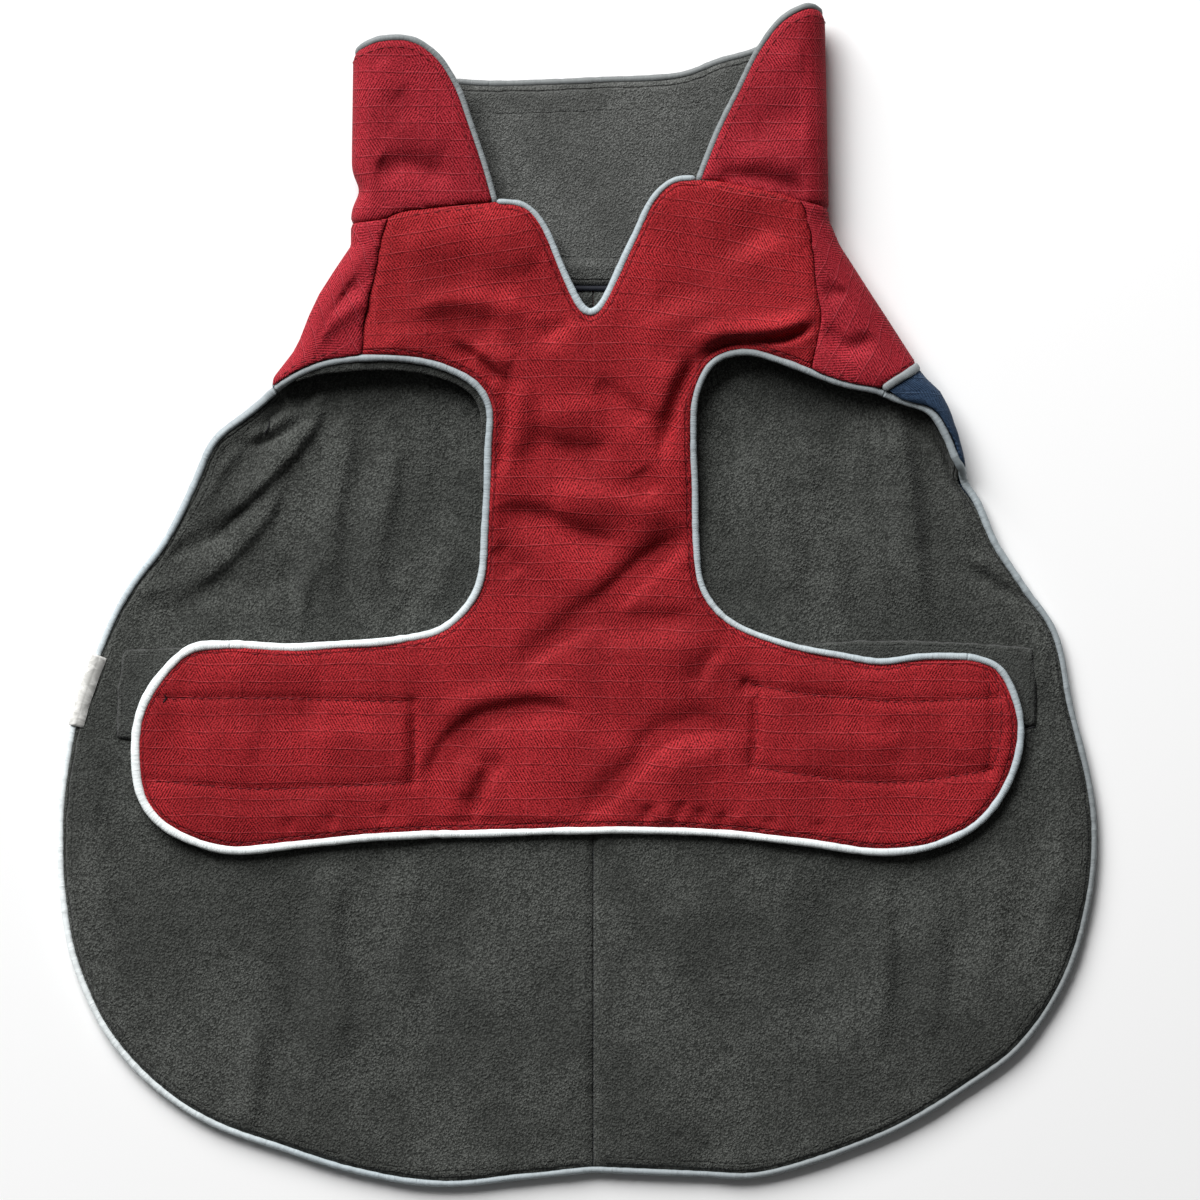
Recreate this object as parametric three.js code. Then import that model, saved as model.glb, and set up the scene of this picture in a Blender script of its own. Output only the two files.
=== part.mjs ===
// Dog winter coat laid flat: back panel under, shoulders and collar folded over at both sides,
// chest panel with its belly band on top. Millimetres, +Z up, collar towards +Y, floor at z = 0.
// The origin is on the floor under the middle of the coat.

import * as THREE from 'three';

// Cloth and trim
const shellThick = 1.2;
const liningThick = 2.0;
const layerGap = 0.3;
const layerSpace = 0.65;
const chestThick = 2.8;
const patchThick = 0.8;
const cordRadius = 1.5;
const seamGap = 0.3;
const cordInset = cordRadius + layerGap + 0.2;
const liningLow = shellThick + layerSpace;
const liningTop = liningLow + liningThick;

// Heights of the upper cloth above the floor
const restHeight = liningTop + layerGap + chestThick;
const patchRise = patchThick + layerGap;
const shoulderRise = 8.4;
const middleSag = 4.2;
const sagHalfWidth = 48;
const middleX = 4;
const riseFromY = 0;
const riseToY = 78;
const foldBlend = 26;
const foldsFromY = 40;
const tightBend = 10;
const patchSide = { from: 50, to: 62 };
const patchTop = { from: -12, to: 4 };

// Mesh spacing
const wideCell = 13;
const closeCell = 9;
const outlineStep = 7;
const cordStep = 8.5;
const flatHalf = 80;

// A table is a list of rows whose values are named by its columns
const table = (columns, rows) => rows.map(
  (row) => Object.fromEntries(columns.map((column, index) => [column, row[index]])));

// Where the under cloth leaves the floor on each side, and the radius of its bend, for each level y
const bends = table(['y', 'leftStart', 'leftRadius', 'rightStart', 'rightRadius'], [
  [190, -63.0, 8.5, 70.5, 8.5],
  [120, -65.0, 7.5, 73.0, 7.5],
  [112, -65.0, 7.5, 76.5, 7.5],
  [95, -75.5, 7.3, 87.5, 7.5],
  [78, -85.0, 7.2, 98.5, 7.5],
  [70, -90.0, 7.2, 103.7, 7.5],
  [65.5, -91.5, 7.2, 109.0, 7.0],
  [62, -93.8, 9.8, 111.0, 7.0],
  [59, -95.5, 13.5, 112.4, 7.0],
  [51, -96.8, 33, 115.1, 7.0],
  [40, -99.5, 55, 117.8, 7.0],
  [32, -103.5, 66, 122.5, 8.2],
  [18, -113.6, 81, 126.2, 21],
  [2, -129.8, 141, 134.8, 63],
  [-14, -160, 200, 160, 200],
  [-60, -180, 200, 180, 200],
  [-200, -190, 200, 190, 200],
]);

// Outlines: the middle line of the edge cord or of the seam, seen from above.
// top is 1 where the cloth has gone round the fold and lies above.
const outlineColumns = ['x', 'y', 'top'];
const outline = (rows) => table(outlineColumns, rows);

const collarEdge = outline([
  [-26.2, 124.8, 1], [-30, 138, 1], [-34.5, 151.5, 1], [-39, 163.5, 1], [-45, 172.5, 1],
  [-53, 177.5, 1], [-63, 177.5, 1], [-69, 175.5, 1], [-70, 171.5, 0], [-55, 166.5, 0],
  [-39, 164.5, 0], [-21.5, 164, 0], [7, 165, 0], [33, 166.5, 0], [45.5, 171, 0],
  [57, 174.5, 0], [68, 180.5, 0], [78, 184.5, 0], [76, 188, 1], [72, 187.5, 1],
  [65, 183.5, 1], [57.5, 174, 1], [51.5, 162, 1], [44.5, 147.5, 1], [38.4, 131.8, 1],
]);

const neckSeam = outline([
  [-26, 126, 1], [-37.5, 125, 1], [-47, 124, 1], [-57, 122.5, 1], [-61.5, 120.5, 1],
  [-71.5, 118, 0], [-57, 111.5, 0], [-34.5, 102.5, 0], [-12, 99, 0], [5, 98.5, 0],
  [23, 99, 0], [45.5, 105, 0], [68, 115.5, 0], [79.5, 122, 0], [71, 126.5, 1],
  [65, 128.5, 1], [55, 130.5, 1], [45.5, 132.5, 1], [39, 133, 1],
]);

const neckline = outline([
  [-25.5, 126, 1], [-17, 125, 1], [-11.5, 119.5, 1], [-5.5, 106, 1], [-1, 97.5, 1],
  [2, 93.5, 1], [4.5, 91.3, 1], [7, 94, 1], [11.5, 101, 1], [18, 114.5, 1],
  [24.5, 127.5, 1], [31, 133, 1], [38.5, 133.5, 1],
]);

const leftShoulder = outline([[-60.5, 121, 1], [-64, 106, 1], [-67.5, 90, 1], [-70, 76, 1]]);
const rightShoulder = outline([
  [71, 126.5, 1], [75, 114, 1], [76.5, 99.5, 1], [78, 90, 1], [76.5, 80.5, 1], [74.5, 71.5, 1],
]);

const yokeSeam = outline([
  [-98.2, 66.5, 0], [-79, 65.5, 0], [-41, 63.5, 0], [5, 63.5, 0], [52, 65.5, 0],
  [90.5, 70, 0], [109.5, 73.5, 0], [103, 69.5, 1], [97, 65.5, 1],
]);

const leftYokeEdge = outline([[-98.2, 66.5, 1], [-93.5, 69, 1], [-82.5, 74, 1], [-70, 76, 1]]);
const rightYokeEdge = outline([[74.5, 71.5, 1], [85.5, 67.5, 1], [97, 65.5, 1]]);

const leftLegEdge = outline([
  [-70, 76, 1], [-57, 76, 1], [-44, 73.5, 1], [-33, 68, 1], [-28.5, 61, 1], [-28.5, 46.5, 1],
  [-29.5, 24.5, 1], [-31, 5, 1], [-35, -3, 1], [-44, -11, 1], [-57, -14, 1], [-74.5, -15.5, 1],
  [-92, -16.5, 1], [-111, -15.5, 1],
]);
const bandEdge = outline([
  [-111, -15.5, 1], [-124, -17, 1], [-133.5, -26, 1], [-139.5, -36.5, 1], [-141.5, -49.5, 1],
  [-139.5, -64.5, 1], [-133, -73, 1], [-121, -79, 1], [-109.5, -81.5, 1], [-89, -79.5, 1],
  [-63, -77, 1], [-31, -76, 1], [7, -75, 1], [39, -75.5, 1], [71, -78.5, 1], [97, -82, 1],
  [113, -80, 1], [127, -73.5, 1], [136.5, -62.5, 1], [141.5, -47.5, 1], [141, -36, 1],
  [135, -23, 1], [125.5, -19.5, 1],
]);
const rightLegEdge = outline([
  [125.5, -19.5, 1], [109.5, -19.5, 1], [97, -21, 1], [84, -19, 1], [65, -15, 1], [47, -7, 1],
  [40, 2.5, 1], [38, 18, 1], [37.5, 37, 1], [37, 50, 1], [38, 64.5, 1], [43.5, 75, 1],
  [53.5, 78, 1], [65, 75, 1], [74.5, 71.5, 1],
]);

const hemLeft = outline([
  [-98.2, 66.5, 0], [-107.2, 58, 0], [-116.5, 50.2, 0], [-122.8, 36.5, 0], [-132.4, 17.3, 0],
  [-143.9, 1.3, 0], [-152.8, -18, 0], [-161.2, -43.2, 0], [-165.2, -75, 0], [-164.2, -97.3, 0],
  [-159.8, -119, 0], [-150, -139.7, 0], [-136.2, -155.5, 0], [-117, -168.3, 0],
  [-94.6, -176.2, 0], [-69.2, -184.2, 0], [-44, -187.7, 0], [-18.6, -185.7, 0], [5, -183.2, 0],
]);
const hemRight = outline([
  [97, 65.5, 1], [105, 62, 1], [113, 60, 1], [116.5, 57, 1], [119, 53, 1], [121.5, 48.5, 1],
  [123.2, 43.5, 1], [123.5, 38.2, 0], [128, 31.2, 0], [133.8, 17.5, 0], [143.9, 1.3, 0],
  [152.3, -11.9, 0], [157.7, -36.7, 0], [163.2, -59.3, 0], [165.2, -78, 0], [162.8, -100.1, 0],
  [154.9, -123.9, 0], [140.6, -144.6, 0], [121.8, -158.4, 0], [102.4, -169.8, 0],
  [77.1, -179.8, 0], [56.8, -185.2, 0], [39, -184.7, 0], [5, -183.2, 0],
]);
const centreSeam = outline([[5, -188, 0], [5, 103, 0]]);

// Largest folds of each cloth, from one end to the other, with their height and half width
const foldColumns = ['x1', 'y1', 'x2', 'y2', 'height', 'width'];
const liningFolds = table(foldColumns, [
  [-86, 60, -106, 34, 1.6, 4.5],
  [-98, 30, -128, 8, 1.3, 5],
  [-74, 55, -76, 5, 0.9, 6],
  [102, 55, 112, 14, 1.3, 4.5],
  [108, 8, 126, -6, 1.0, 5],
  [60, 50, 61, 2, 0.8, 6],
  [-76, -92, -80, -135, 0.8, 7],
]);
const chestFolds = table(foldColumns, [
  [-38, 78, -24, 66, 1.6, 5],
  [-10, 78, 6, 88, 1.4, 5],
  [42, 84, 74, 86, -2.2, 4],
  [0, 20, 22, 12, 1.2, 6],
  [36, 12, -10, -26, 1.4, 6],
  [-42, -45, -4, -36, 1.2, 6],
  [-26, -48, -42, -70, 1.0, 5],
  [14, -64, 46, -38, 1.2, 6],
]);

const clamp = (value, low, high) => Math.min(high, Math.max(low, value));
const smooth = (from, to, value) => {
  const part = clamp((value - from) / (to - from), 0, 1);
  return part * part * (3 - 2 * part);
};
const mix = (a, b, part) => a + (b - a) * part;

// The bend row at a level y, between the two rows of the table that hold it
function bendAt(y) {
  let index = 0;
  while (index < bends.length - 2 && bends[index + 1].y > y) index += 1;
  const [upper, lower] = [bends[index], bends[index + 1]];
  const part = clamp((upper.y - y) / (upper.y - lower.y), 0, 1);
  return Object.fromEntries(Object.keys(upper).map((key) => [key, mix(upper[key], lower[key], part)]));
}

// Folds are soft ridges or troughs that fade at their ends
function foldHeight(folds, x, y) {
  let height = 0;
  for (const fold of folds) {
    const [dx, dy] = [fold.x2 - fold.x1, fold.y2 - fold.y1];
    const length = Math.hypot(dx, dy);
    const along = ((x - fold.x1) * dx + (y - fold.y1) * dy) / length;
    const across = ((x - fold.x1) * dy - (y - fold.y1) * dx) / length;
    const past = Math.max(0, -along, along - length);
    height += fold.height * Math.exp(-((across * across + past * past) / (fold.width ** 2)));
  }
  return height;
}

// Height of the outer face of the upper cloth: it lies on the lining at the band, rises to the
// shoulders, sags in the middle and rounds off at the side folds
function upperHeight(x, y) {
  const rise = smooth(riseFromY, riseToY, y);
  const sag = middleSag * Math.exp(-(((x - middleX) / sagHalfWidth) ** 2));
  const overPatch = patchRise * smooth(patchSide.from, patchSide.to, Math.abs(x - middleX))
    * (1 - smooth(patchTop.from, patchTop.to, y));
  const free = restHeight + rise * (shoulderRise - sag) + overPatch;
  const bend = bendAt(y);
  const leftIn = x - (bend.leftStart - bend.leftRadius);
  const rightIn = bend.rightStart + bend.rightRadius - x;
  const [inward, radius] = leftIn < rightIn ? [leftIn, bend.leftRadius] : [rightIn, bend.rightRadius];
  if (y < foldsFromY || radius > tightBend) return free;
  const round = Math.sqrt(1 - (1 - clamp(inward / radius, 0, 1)) ** 2);
  const blend = smooth(radius, radius + foldBlend, inward);
  return mix(radius * (1 + round), free, blend);
}

// Flat pattern place of a point of the outline: the cloth unrolled about its side folds
function unroll({ x, y, top }) {
  const bend = bendAt(y);
  const side = x < middleX ? -1 : 1;
  const start = side < 0 ? bend.leftStart : bend.rightStart;
  const radius = side < 0 ? bend.leftRadius : bend.rightRadius;
  const beyond = (x - start) * side;
  if (top) {
    const length = beyond > 0
      ? radius * (Math.PI - Math.asin(clamp(beyond / radius, 0, 1)))
      : Math.PI * radius - beyond;
    return { x: start + side * length, y };
  }
  const length = beyond > 0 ? radius * Math.asin(clamp(beyond / radius, 0, 1)) : beyond;
  return { x: start + side * length, y };
}

// Outer face of the cloth at a flat pattern point: floor, then the bend, then the upper side
function outerFace(x, y) {
  const bend = bendAt(y);
  const side = x < middleX ? -1 : 1;
  const start = side < 0 ? bend.leftStart : bend.rightStart;
  const radius = side < 0 ? bend.leftRadius : bend.rightRadius;
  const length = (x - start) * side;
  if (length <= 0) return new THREE.Vector3(x, y, 0);
  const turn = length / radius;
  if (turn <= Math.PI) {
    return new THREE.Vector3(start + side * radius * Math.sin(turn), y, radius * (1 - Math.cos(turn)));
  }
  const upperX = start - side * (length - Math.PI * radius);
  return new THREE.Vector3(upperX, y, upperHeight(upperX, y));
}

// Point of the cloth at a depth inside its outer face, measured square to it
function rolled(x, y, depth) {
  const step = 0.4;
  const alongX = outerFace(x + step, y).sub(outerFace(x - step, y));
  const alongY = outerFace(x, y + step).sub(outerFace(x, y - step));
  const inward = alongX.cross(alongY).normalize();
  return outerFace(x, y).addScaledVector(inward, depth);
}

// Point of the chest cloth at a depth under its upper face
const chestPoint = (x, y, depth) => new THREE.Vector3(
  x, y, upperHeight(x, y) + foldHeight(chestFolds, x, y) - depth);

// Even points along a smooth curve through the rows
function trace(rows, step) {
  const curve = new THREE.CatmullRomCurve3(
    rows.map((row) => new THREE.Vector3(row.x, row.y, 0)), false, 'centripetal');
  const count = Math.max(2, Math.round(curve.getLength() / step));
  return curve.getSpacedPoints(count).map(({ x, y }) => ({ x, y }));
}

// The same in the flat pattern
const pattern = (rows, step) => trace(rows.map(unroll), step);
const plan = (rows, step) => trace(rows, step);

// A curve moved to its left by a distance
function shift(points, distance, stretch = () => ({ xx: 1, xy: 0, yy: 1 })) {
  return points.map((point, index) => {
    const before = points[Math.max(0, index - 1)];
    const after = points[Math.min(points.length - 1, index + 1)];
    const [dx, dy] = [after.x - before.x, after.y - before.y];
    const { xx, xy, yy } = stretch(point);
    const [sideX, sideY] = [-dy * yy - dx * xy, dx * xx + dy * xy];
    const length = Math.sqrt(sideX * sideX * xx + 2 * sideX * sideY * xy + sideY * sideY * yy);
    return { x: point.x + (sideX / length) * distance, y: point.y + (sideY / length) * distance };
  });
}

// The same on the rolled cloth, with the distance measured along it at a depth
const shiftRolled = (points, distance, depth) => shift(points, distance, ({ x, y }) => {
  const step = 0.3;
  const alongX = rolled(x + step, y, depth).sub(rolled(x - step, y, depth)).divideScalar(2 * step);
  const alongY = rolled(x, y + step, depth).sub(rolled(x, y - step, depth)).divideScalar(2 * step);
  return { xx: alongX.dot(alongX), xy: alongX.dot(alongY), yy: alongY.dot(alongY) };
});

const reversed = (points) => [...points].reverse();

// A curve with one more point before its first, straight on
const extended = (points, length) => {
  const [first, second] = points;
  const step = Math.hypot(second.x - first.x, second.y - first.y);
  const part = length / step;
  return [{ x: mix(first.x, second.x, -part), y: mix(first.y, second.y, -part) }, ...points];
};

// Curves joined end to end into one closed outline, trimmed where neighbours cross
function joinCurves(...curves) {
  const loop = curves.map((curve) => [...curve]);
  loop.forEach((curve, index) => {
    const next = loop[(index + 1) % loop.length];
    trimCrossing(curve, next);
  });
  return tidyLoop(loop.flat());
}

function crossing(a, b, c, d) {
  const [rx, ry, sx, sy] = [b.x - a.x, b.y - a.y, d.x - c.x, d.y - c.y];
  const cross = rx * sy - ry * sx;
  if (Math.abs(cross) < 1e-9) return null;
  const along = ((c.x - a.x) * sy - (c.y - a.y) * sx) / cross;
  const other = ((c.x - a.x) * ry - (c.y - a.y) * rx) / cross;
  if (along < 0 || along > 1 || other < 0 || other > 1) return null;
  return { x: a.x + along * rx, y: a.y + along * ry };
}

function trimCrossing(curve, next) {
  const reach = 6;
  for (let i = curve.length - 2; i >= Math.max(0, curve.length - reach); i -= 1) {
    for (let j = 0; j < Math.min(next.length - 1, reach); j += 1) {
      const point = crossing(curve[i], curve[i + 1], next[j], next[j + 1]);
      if (point) {
        curve.splice(i + 1, curve.length, point);
        next.splice(0, j + 1);
        return;
      }
    }
  }
}

function tidyLoop(points) {
  const closest = 0.8;
  const kept = [];
  for (const point of points) {
    const last = kept[kept.length - 1];
    if (!last || Math.hypot(point.x - last.x, point.y - last.y) > closest) kept.push(point);
  }
  const [first, last] = [kept[0], kept[kept.length - 1]];
  if (Math.hypot(first.x - last.x, first.y - last.y) < closest) kept.pop();
  return kept;
}

const signedArea = (loop) => loop.reduce((sum, point, index) => {
  const next = loop[(index + 1) % loop.length];
  return sum + (point.x * next.y - next.x * point.y) / 2;
}, 0);

function isInside(loop, x, y) {
  let inside = false;
  loop.forEach((a, index) => {
    const b = loop[(index + 1) % loop.length];
    if ((a.y > y) !== (b.y > y) && x < ((b.x - a.x) * (y - a.y)) / (b.y - a.y) + a.x) inside = !inside;
  });
  return inside;
}

function edgeDistance(loop, x, y) {
  let least = Infinity;
  loop.forEach((a, index) => {
    const b = loop[(index + 1) % loop.length];
    const [dx, dy] = [b.x - a.x, b.y - a.y];
    const along = clamp(((x - a.x) * dx + (y - a.y) * dy) / (dx * dx + dy * dy), 0, 1);
    least = Math.min(least, Math.hypot(x - a.x - along * dx, y - a.y - along * dy));
  });
  return least;
}

// Meshing place of a flat pattern point: both bends straightened to run along y
function straighten({ x, y }) {
  const { leftStart, rightStart } = bendAt(y);
  if (x < leftStart) return { x: x - leftStart - flatHalf, y };
  if (x > rightStart) return { x: x - rightStart + flatHalf, y };
  return { x: mix(-flatHalf, flatHalf, (x - leftStart) / (rightStart - leftStart)), y };
}

function unstraighten({ x, y }) {
  const { leftStart, rightStart } = bendAt(y);
  if (x < -flatHalf) return { x: x + leftStart + flatHalf, y };
  if (x > flatHalf) return { x: x + rightStart - flatHalf, y };
  return { x: mix(leftStart, rightStart, (x + flatHalf) / (2 * flatHalf)), y };
}

// Grid points inside an outline, close together across the bends
function innerPoints(loop, cell, bent) {
  const points = [];
  const [minY, maxY] = [Math.min(...loop.map((p) => p.y)), Math.max(...loop.map((p) => p.y))];
  const reach = Math.max(...loop.map((p) => Math.abs(p.x)));
  const rowStep = cell * 0.87;
  const keep = (x, y, local) => {
    if (isInside(loop, x, y) && edgeDistance(loop, x, y) > local * 0.55) points.push({ x, y });
  };
  for (let row = Math.ceil(minY / rowStep); row * rowStep < maxY; row += 1) {
    const y = row * rowStep;
    const odd = Math.abs(row % 2) / 2;
    const flatCount = Math.round((2 * flatHalf) / cell);
    for (let index = odd ? 0.5 : 1; index < flatCount; index += 1) {
      keep(mix(-flatHalf, flatHalf, index / flatCount), y, cell);
    }
    for (const side of [-1, 1]) {
      const bend = bendAt(y);
      const radius = side < 0 ? bend.leftRadius : bend.rightRadius;
      const bentStep = bent ? Math.min(cell, (radius * Math.PI) / 10) : cell;
      for (let out = odd * bentStep; out < reach;) {
        const inBend = out < radius * Math.PI;
        keep(side * (flatHalf + out), y, inBend ? bentStep : cell);
        out += inBend ? bentStep : cell;
      }
    }
  }
  return points;
}

// Straightened curve with short steps where it crosses a tight bend
function closeInBends(points, closed) {
  const longest = 2.2;
  const tight = 20;
  return points.flatMap((point, index) => {
    if (!closed && index === points.length - 1) return [point];
    const next = points[(index + 1) % points.length];
    const out = Math.abs((point.x + next.x) / 2) - flatHalf;
    const bend = bendAt((point.y + next.y) / 2);
    const radius = point.x < 0 ? bend.leftRadius : bend.rightRadius;
    const length = Math.hypot(next.x - point.x, next.y - point.y);
    const crosses = radius < tight && out > -longest && out < radius * Math.PI + longest;
    const count = crosses ? Math.ceil(length / longest) : 1;
    return Array.from({ length: count }, (_, step) => (
      { x: mix(point.x, next.x, step / count), y: mix(point.y, next.y, step / count) }));
  });
}

// Delaunay triangles of an outline and its inner points, kept inside the outline
function triangulate(loop, inner) {
  const points = [...loop, ...inner];
  const far = 4000;
  const all = [...points, { x: -far, y: -far }, { x: far, y: -far }, { x: 0, y: far }];
  const count = points.length;
  const circle = (a, b, c) => {
    const [A, B, C] = [all[a], all[b], all[c]];
    const d = 2 * (A.x * (B.y - C.y) + B.x * (C.y - A.y) + C.x * (A.y - B.y));
    const [a2, b2, c2] = [A.x ** 2 + A.y ** 2, B.x ** 2 + B.y ** 2, C.x ** 2 + C.y ** 2];
    const x = (a2 * (B.y - C.y) + b2 * (C.y - A.y) + c2 * (A.y - B.y)) / d;
    const y = (a2 * (C.x - B.x) + b2 * (A.x - C.x) + c2 * (B.x - A.x)) / d;
    return { corners: [a, b, c], x, y, r2: (A.x - x) ** 2 + (A.y - y) ** 2 };
  };
  let triangles = [circle(count, count + 1, count + 2)];
  for (let index = 0; index < count; index += 1) {
    const point = all[index];
    const edges = new Map();
    const kept = [];
    for (const triangle of triangles) {
      if ((point.x - triangle.x) ** 2 + (point.y - triangle.y) ** 2 < triangle.r2) {
        const [a, b, c] = triangle.corners;
        for (const [from, to] of [[a, b], [b, c], [c, a]]) {
          if (edges.has(`${to},${from}`)) edges.delete(`${to},${from}`);
          else edges.set(`${from},${to}`, [from, to]);
        }
      } else {
        kept.push(triangle);
      }
    }
    triangles = kept;
    for (const [from, to] of edges.values()) triangles.push(circle(from, to, index));
  }
  const faces = triangles.map(({ corners }) => corners).filter(([a, b, c]) => {
    if (Math.max(a, b, c) >= count) return false;
    const [x, y] = ['x', 'y'].map((axis) => (all[a][axis] + all[b][axis] + all[c][axis]) / 3);
    return isInside(loop, x, y);
  });
  return { points, faces };
}

// Closed wall between two faces of a triangulated outline
function wall({ points, faces }, lowFace, highFace) {
  const low = points.map(({ x, y }) => lowFace(x, y));
  const high = points.map(({ x, y }) => highFace(x, y));
  const count = points.length;
  const triangles = [];
  const rim = new Map();
  for (const [a, b, c] of faces) {
    triangles.push([a + count, b + count, c + count], [c, b, a]);
    for (const [from, to] of [[a, b], [b, c], [c, a]]) {
      if (rim.has(`${to},${from}`)) rim.delete(`${to},${from}`);
      else rim.set(`${from},${to}`, [from, to]);
    }
  }
  for (const [from, to] of rim.values()) {
    triangles.push([from, to, to + count], [from, to + count, from + count]);
  }
  return solid([...low, ...high], triangles);
}

function solid(vertices, triangles) {
  const geometry = new THREE.BufferGeometry();
  geometry.setAttribute('position', new THREE.Float32BufferAttribute(
    vertices.flatMap(({ x, y, z }) => [x, y, z]), 3));
  geometry.setIndex(triangles.flat());
  geometry.computeVertexNormals();
  return geometry;
}

// Panel of rolled cloth between two depths, its folds raised towards the inside
function rolledPanel(loop, cell, lowDepth, highDepth, folds = []) {
  const straight = closeInBends(loop.map(straighten), true);
  const { points, faces } = triangulate(straight, innerPoints(straight, cell, true));
  const mesh = { points: points.map(unstraighten), faces };
  const relief = (x, y) => {
    const face = outerFace(x, y);
    return foldHeight(folds, face.x, face.y);
  };
  return wall(mesh, (x, y) => rolled(x, y, lowDepth + relief(x, y)),
    (x, y) => rolled(x, y, highDepth + relief(x, y)));
}

// Strip of rolled cloth along a curve, between two depths
function rolledStrip(route, halfWidth, lowDepth, highDepth) {
  const curve = closeInBends(route.map(straighten), false).map(unstraighten);
  const [left, right] = [halfWidth, -halfWidth].map((side) => shiftRolled(curve, side, lowDepth));
  return loft(curve.map((_, index) => [
    rolled(left[index].x, left[index].y, lowDepth),
    rolled(right[index].x, right[index].y, lowDepth),
    rolled(right[index].x, right[index].y, highDepth),
    rolled(left[index].x, left[index].y, highDepth),
  ]));
}

// Closed body through rings of points, each ring turning clockwise about the way forward
function loft(rings) {
  const sides = rings[0].length;
  const triangles = [];
  for (let ring = 0; ring < rings.length - 1; ring += 1) {
    for (let side = 0; side < sides; side += 1) {
      const [a, b] = [ring * sides + side, ring * sides + ((side + 1) % sides)];
      triangles.push([a, b + sides, b], [a, a + sides, b + sides]);
    }
  }
  const cap = THREE.ShapeUtils.triangulateShape(flatRing(rings[0]), []);
  const last = (rings.length - 1) * sides;
  for (const [a, b, c] of cap) triangles.push([a, b, c], [last + c, last + b, last + a]);
  return solid(rings.flat(), triangles);
}

// A ring seen along its own normal, for its cap
function flatRing(ring) {
  const centre = ring.reduce((sum, point) => sum.add(point), new THREE.Vector3())
    .divideScalar(ring.length);
  const normal = new THREE.Vector3();
  ring.forEach((point, index) => {
    const next = ring[(index + 1) % ring.length];
    normal.add(point.clone().sub(centre).cross(next.clone().sub(centre)));
  });
  const across = ring[0].clone().sub(centre).normalize();
  const up = normal.normalize().clone().cross(across);
  return ring.map((point) => {
    const arm = point.clone().sub(centre);
    return new THREE.Vector2(arm.dot(across), arm.dot(up));
  });
}

// Rings along a path: each profile point is a distance to the right of the path and a height
function sweep(points, profile) {
  return loft(points.map((point, index) => {
    const before = points[Math.max(0, index - 1)];
    const after = points[Math.min(points.length - 1, index + 1)];
    const along = after.clone().sub(before).normalize();
    const right = along.clone().cross(new THREE.Vector3(0, 0, 1)).normalize();
    const up = right.clone().cross(along);
    return profile.map(({ side, height }) => point.clone()
      .addScaledVector(right, side).addScaledVector(up, height));
  }));
}

const arc = (radius, from, to, count) => Array.from({ length: count + 1 }, (_, index) => {
  const turn = THREE.MathUtils.degToRad(mix(from, to, index / count));
  return { side: radius * Math.cos(turn), height: radius * Math.sin(turn) };
});

const roundCord = arc(cordRadius, 0, 300, 5);

// Part of a curve that leaves out a length at each end
function cutEnds(points, atStart, atEnd) {
  const lengths = [0];
  for (let index = 1; index < points.length; index += 1) {
    const [a, b] = [points[index - 1], points[index]];
    lengths.push(lengths[index - 1] + Math.hypot(b.x - a.x, b.y - a.y));
  }
  const [from, to] = [atStart, lengths[lengths.length - 1] - atEnd];
  const pointAt = (length) => {
    let index = 1;
    while (index < points.length - 1 && lengths[index] < length) index += 1;
    const part = (length - lengths[index - 1]) / (lengths[index] - lengths[index - 1]);
    return {
      x: mix(points[index - 1].x, points[index].x, part),
      y: mix(points[index - 1].y, points[index].y, part),
    };
  };
  const near = 1.5;
  const inner = points.filter((_, index) => lengths[index] > from + near && lengths[index] < to - near);
  return [pointAt(from), ...inner, pointAt(to)];
}

// Part of a curve between two places on it
function between(points, start, end) {
  const nearest = (place) => points.reduce((best, point, index) => (
    Math.hypot(point.x - place.x, point.y - place.y)
      < Math.hypot(points[best].x - place.x, points[best].y - place.y) ? index : best), 0);
  return [start, ...points.slice(nearest(start) + 1, nearest(end)), end];
}

const rolledPath = (curve, depth) => curve.map(({ x, y }) => rolled(x, y, depth));
const chestPath = (curve) => curve.map(({ x, y }) => chestPoint(x, y, chestThick / 2));
const seenFromAbove = (curve) => curve.map(({ x, y }) => {
  const face = outerFace(x, y);
  return { x: face.x, y: face.y };
});

const cloth = (color, roughness) => new THREE.MeshStandardMaterial({ color, roughness, metalness: 0 });
const redRipstop = cloth(0x8c1a28, 0.8);
const navyRipstop = cloth(0x1f2b45, 0.8);
const greyFleece = cloth(0x48484a, 0.97);
const reflectiveTape = cloth(0xaab4b9, 0.45);
const satinTape = cloth(0xc4bdb6, 0.4);
const darkTape = cloth(0x14161c, 0.9);
const hookTape = cloth(0x1b1b1d, 0.9);

const coat = new THREE.Group();
function add(name, geometry, material) {
  const mesh = new THREE.Mesh(geometry, material);
  mesh.name = name;
  coat.add(mesh);
}

// Seam and edge curves in the flat pattern of the under cloth
const closeStep = 5;
const seamHalf = seamGap / 2;
const stripHalf = 1.2;
const stripInset = stripHalf + layerGap;
const tapeHalf = 0.6;
const tapeInset = tapeHalf + layerGap;
const edgeDepth = liningTop / 2;
const overrun = 3;
const neckLine = pattern(neckSeam, closeStep);
const collarLine = pattern(collarEdge, closeStep);
const yokeLine = pattern(yokeSeam, closeStep);
const hemLeftLine = pattern(hemLeft, outlineStep);
const hemRightLine = pattern(hemRight, outlineStep);
const leftYokeLine = pattern(leftYokeEdge, closeStep);
const rightYokeLine = pattern(rightYokeEdge, closeStep);
const leftYokeLong = reversed(extended(reversed(leftYokeLine), overrun));
const rightYokeLong = extended(rightYokeLine, overrun);
const leftShoulderLine = pattern(leftShoulder, closeStep);
const rightShoulderLine = pattern(rightShoulder, closeStep);
const centreLine = trace(centreSeam, wideCell);
const neckCentre = { x: centreLine[0].x, y: neckSeam.find(({ x }) => x === centreLine[0].x).y };
const neckYoke = between(neckLine, leftShoulderLine[0], rightShoulderLine[0]);
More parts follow.
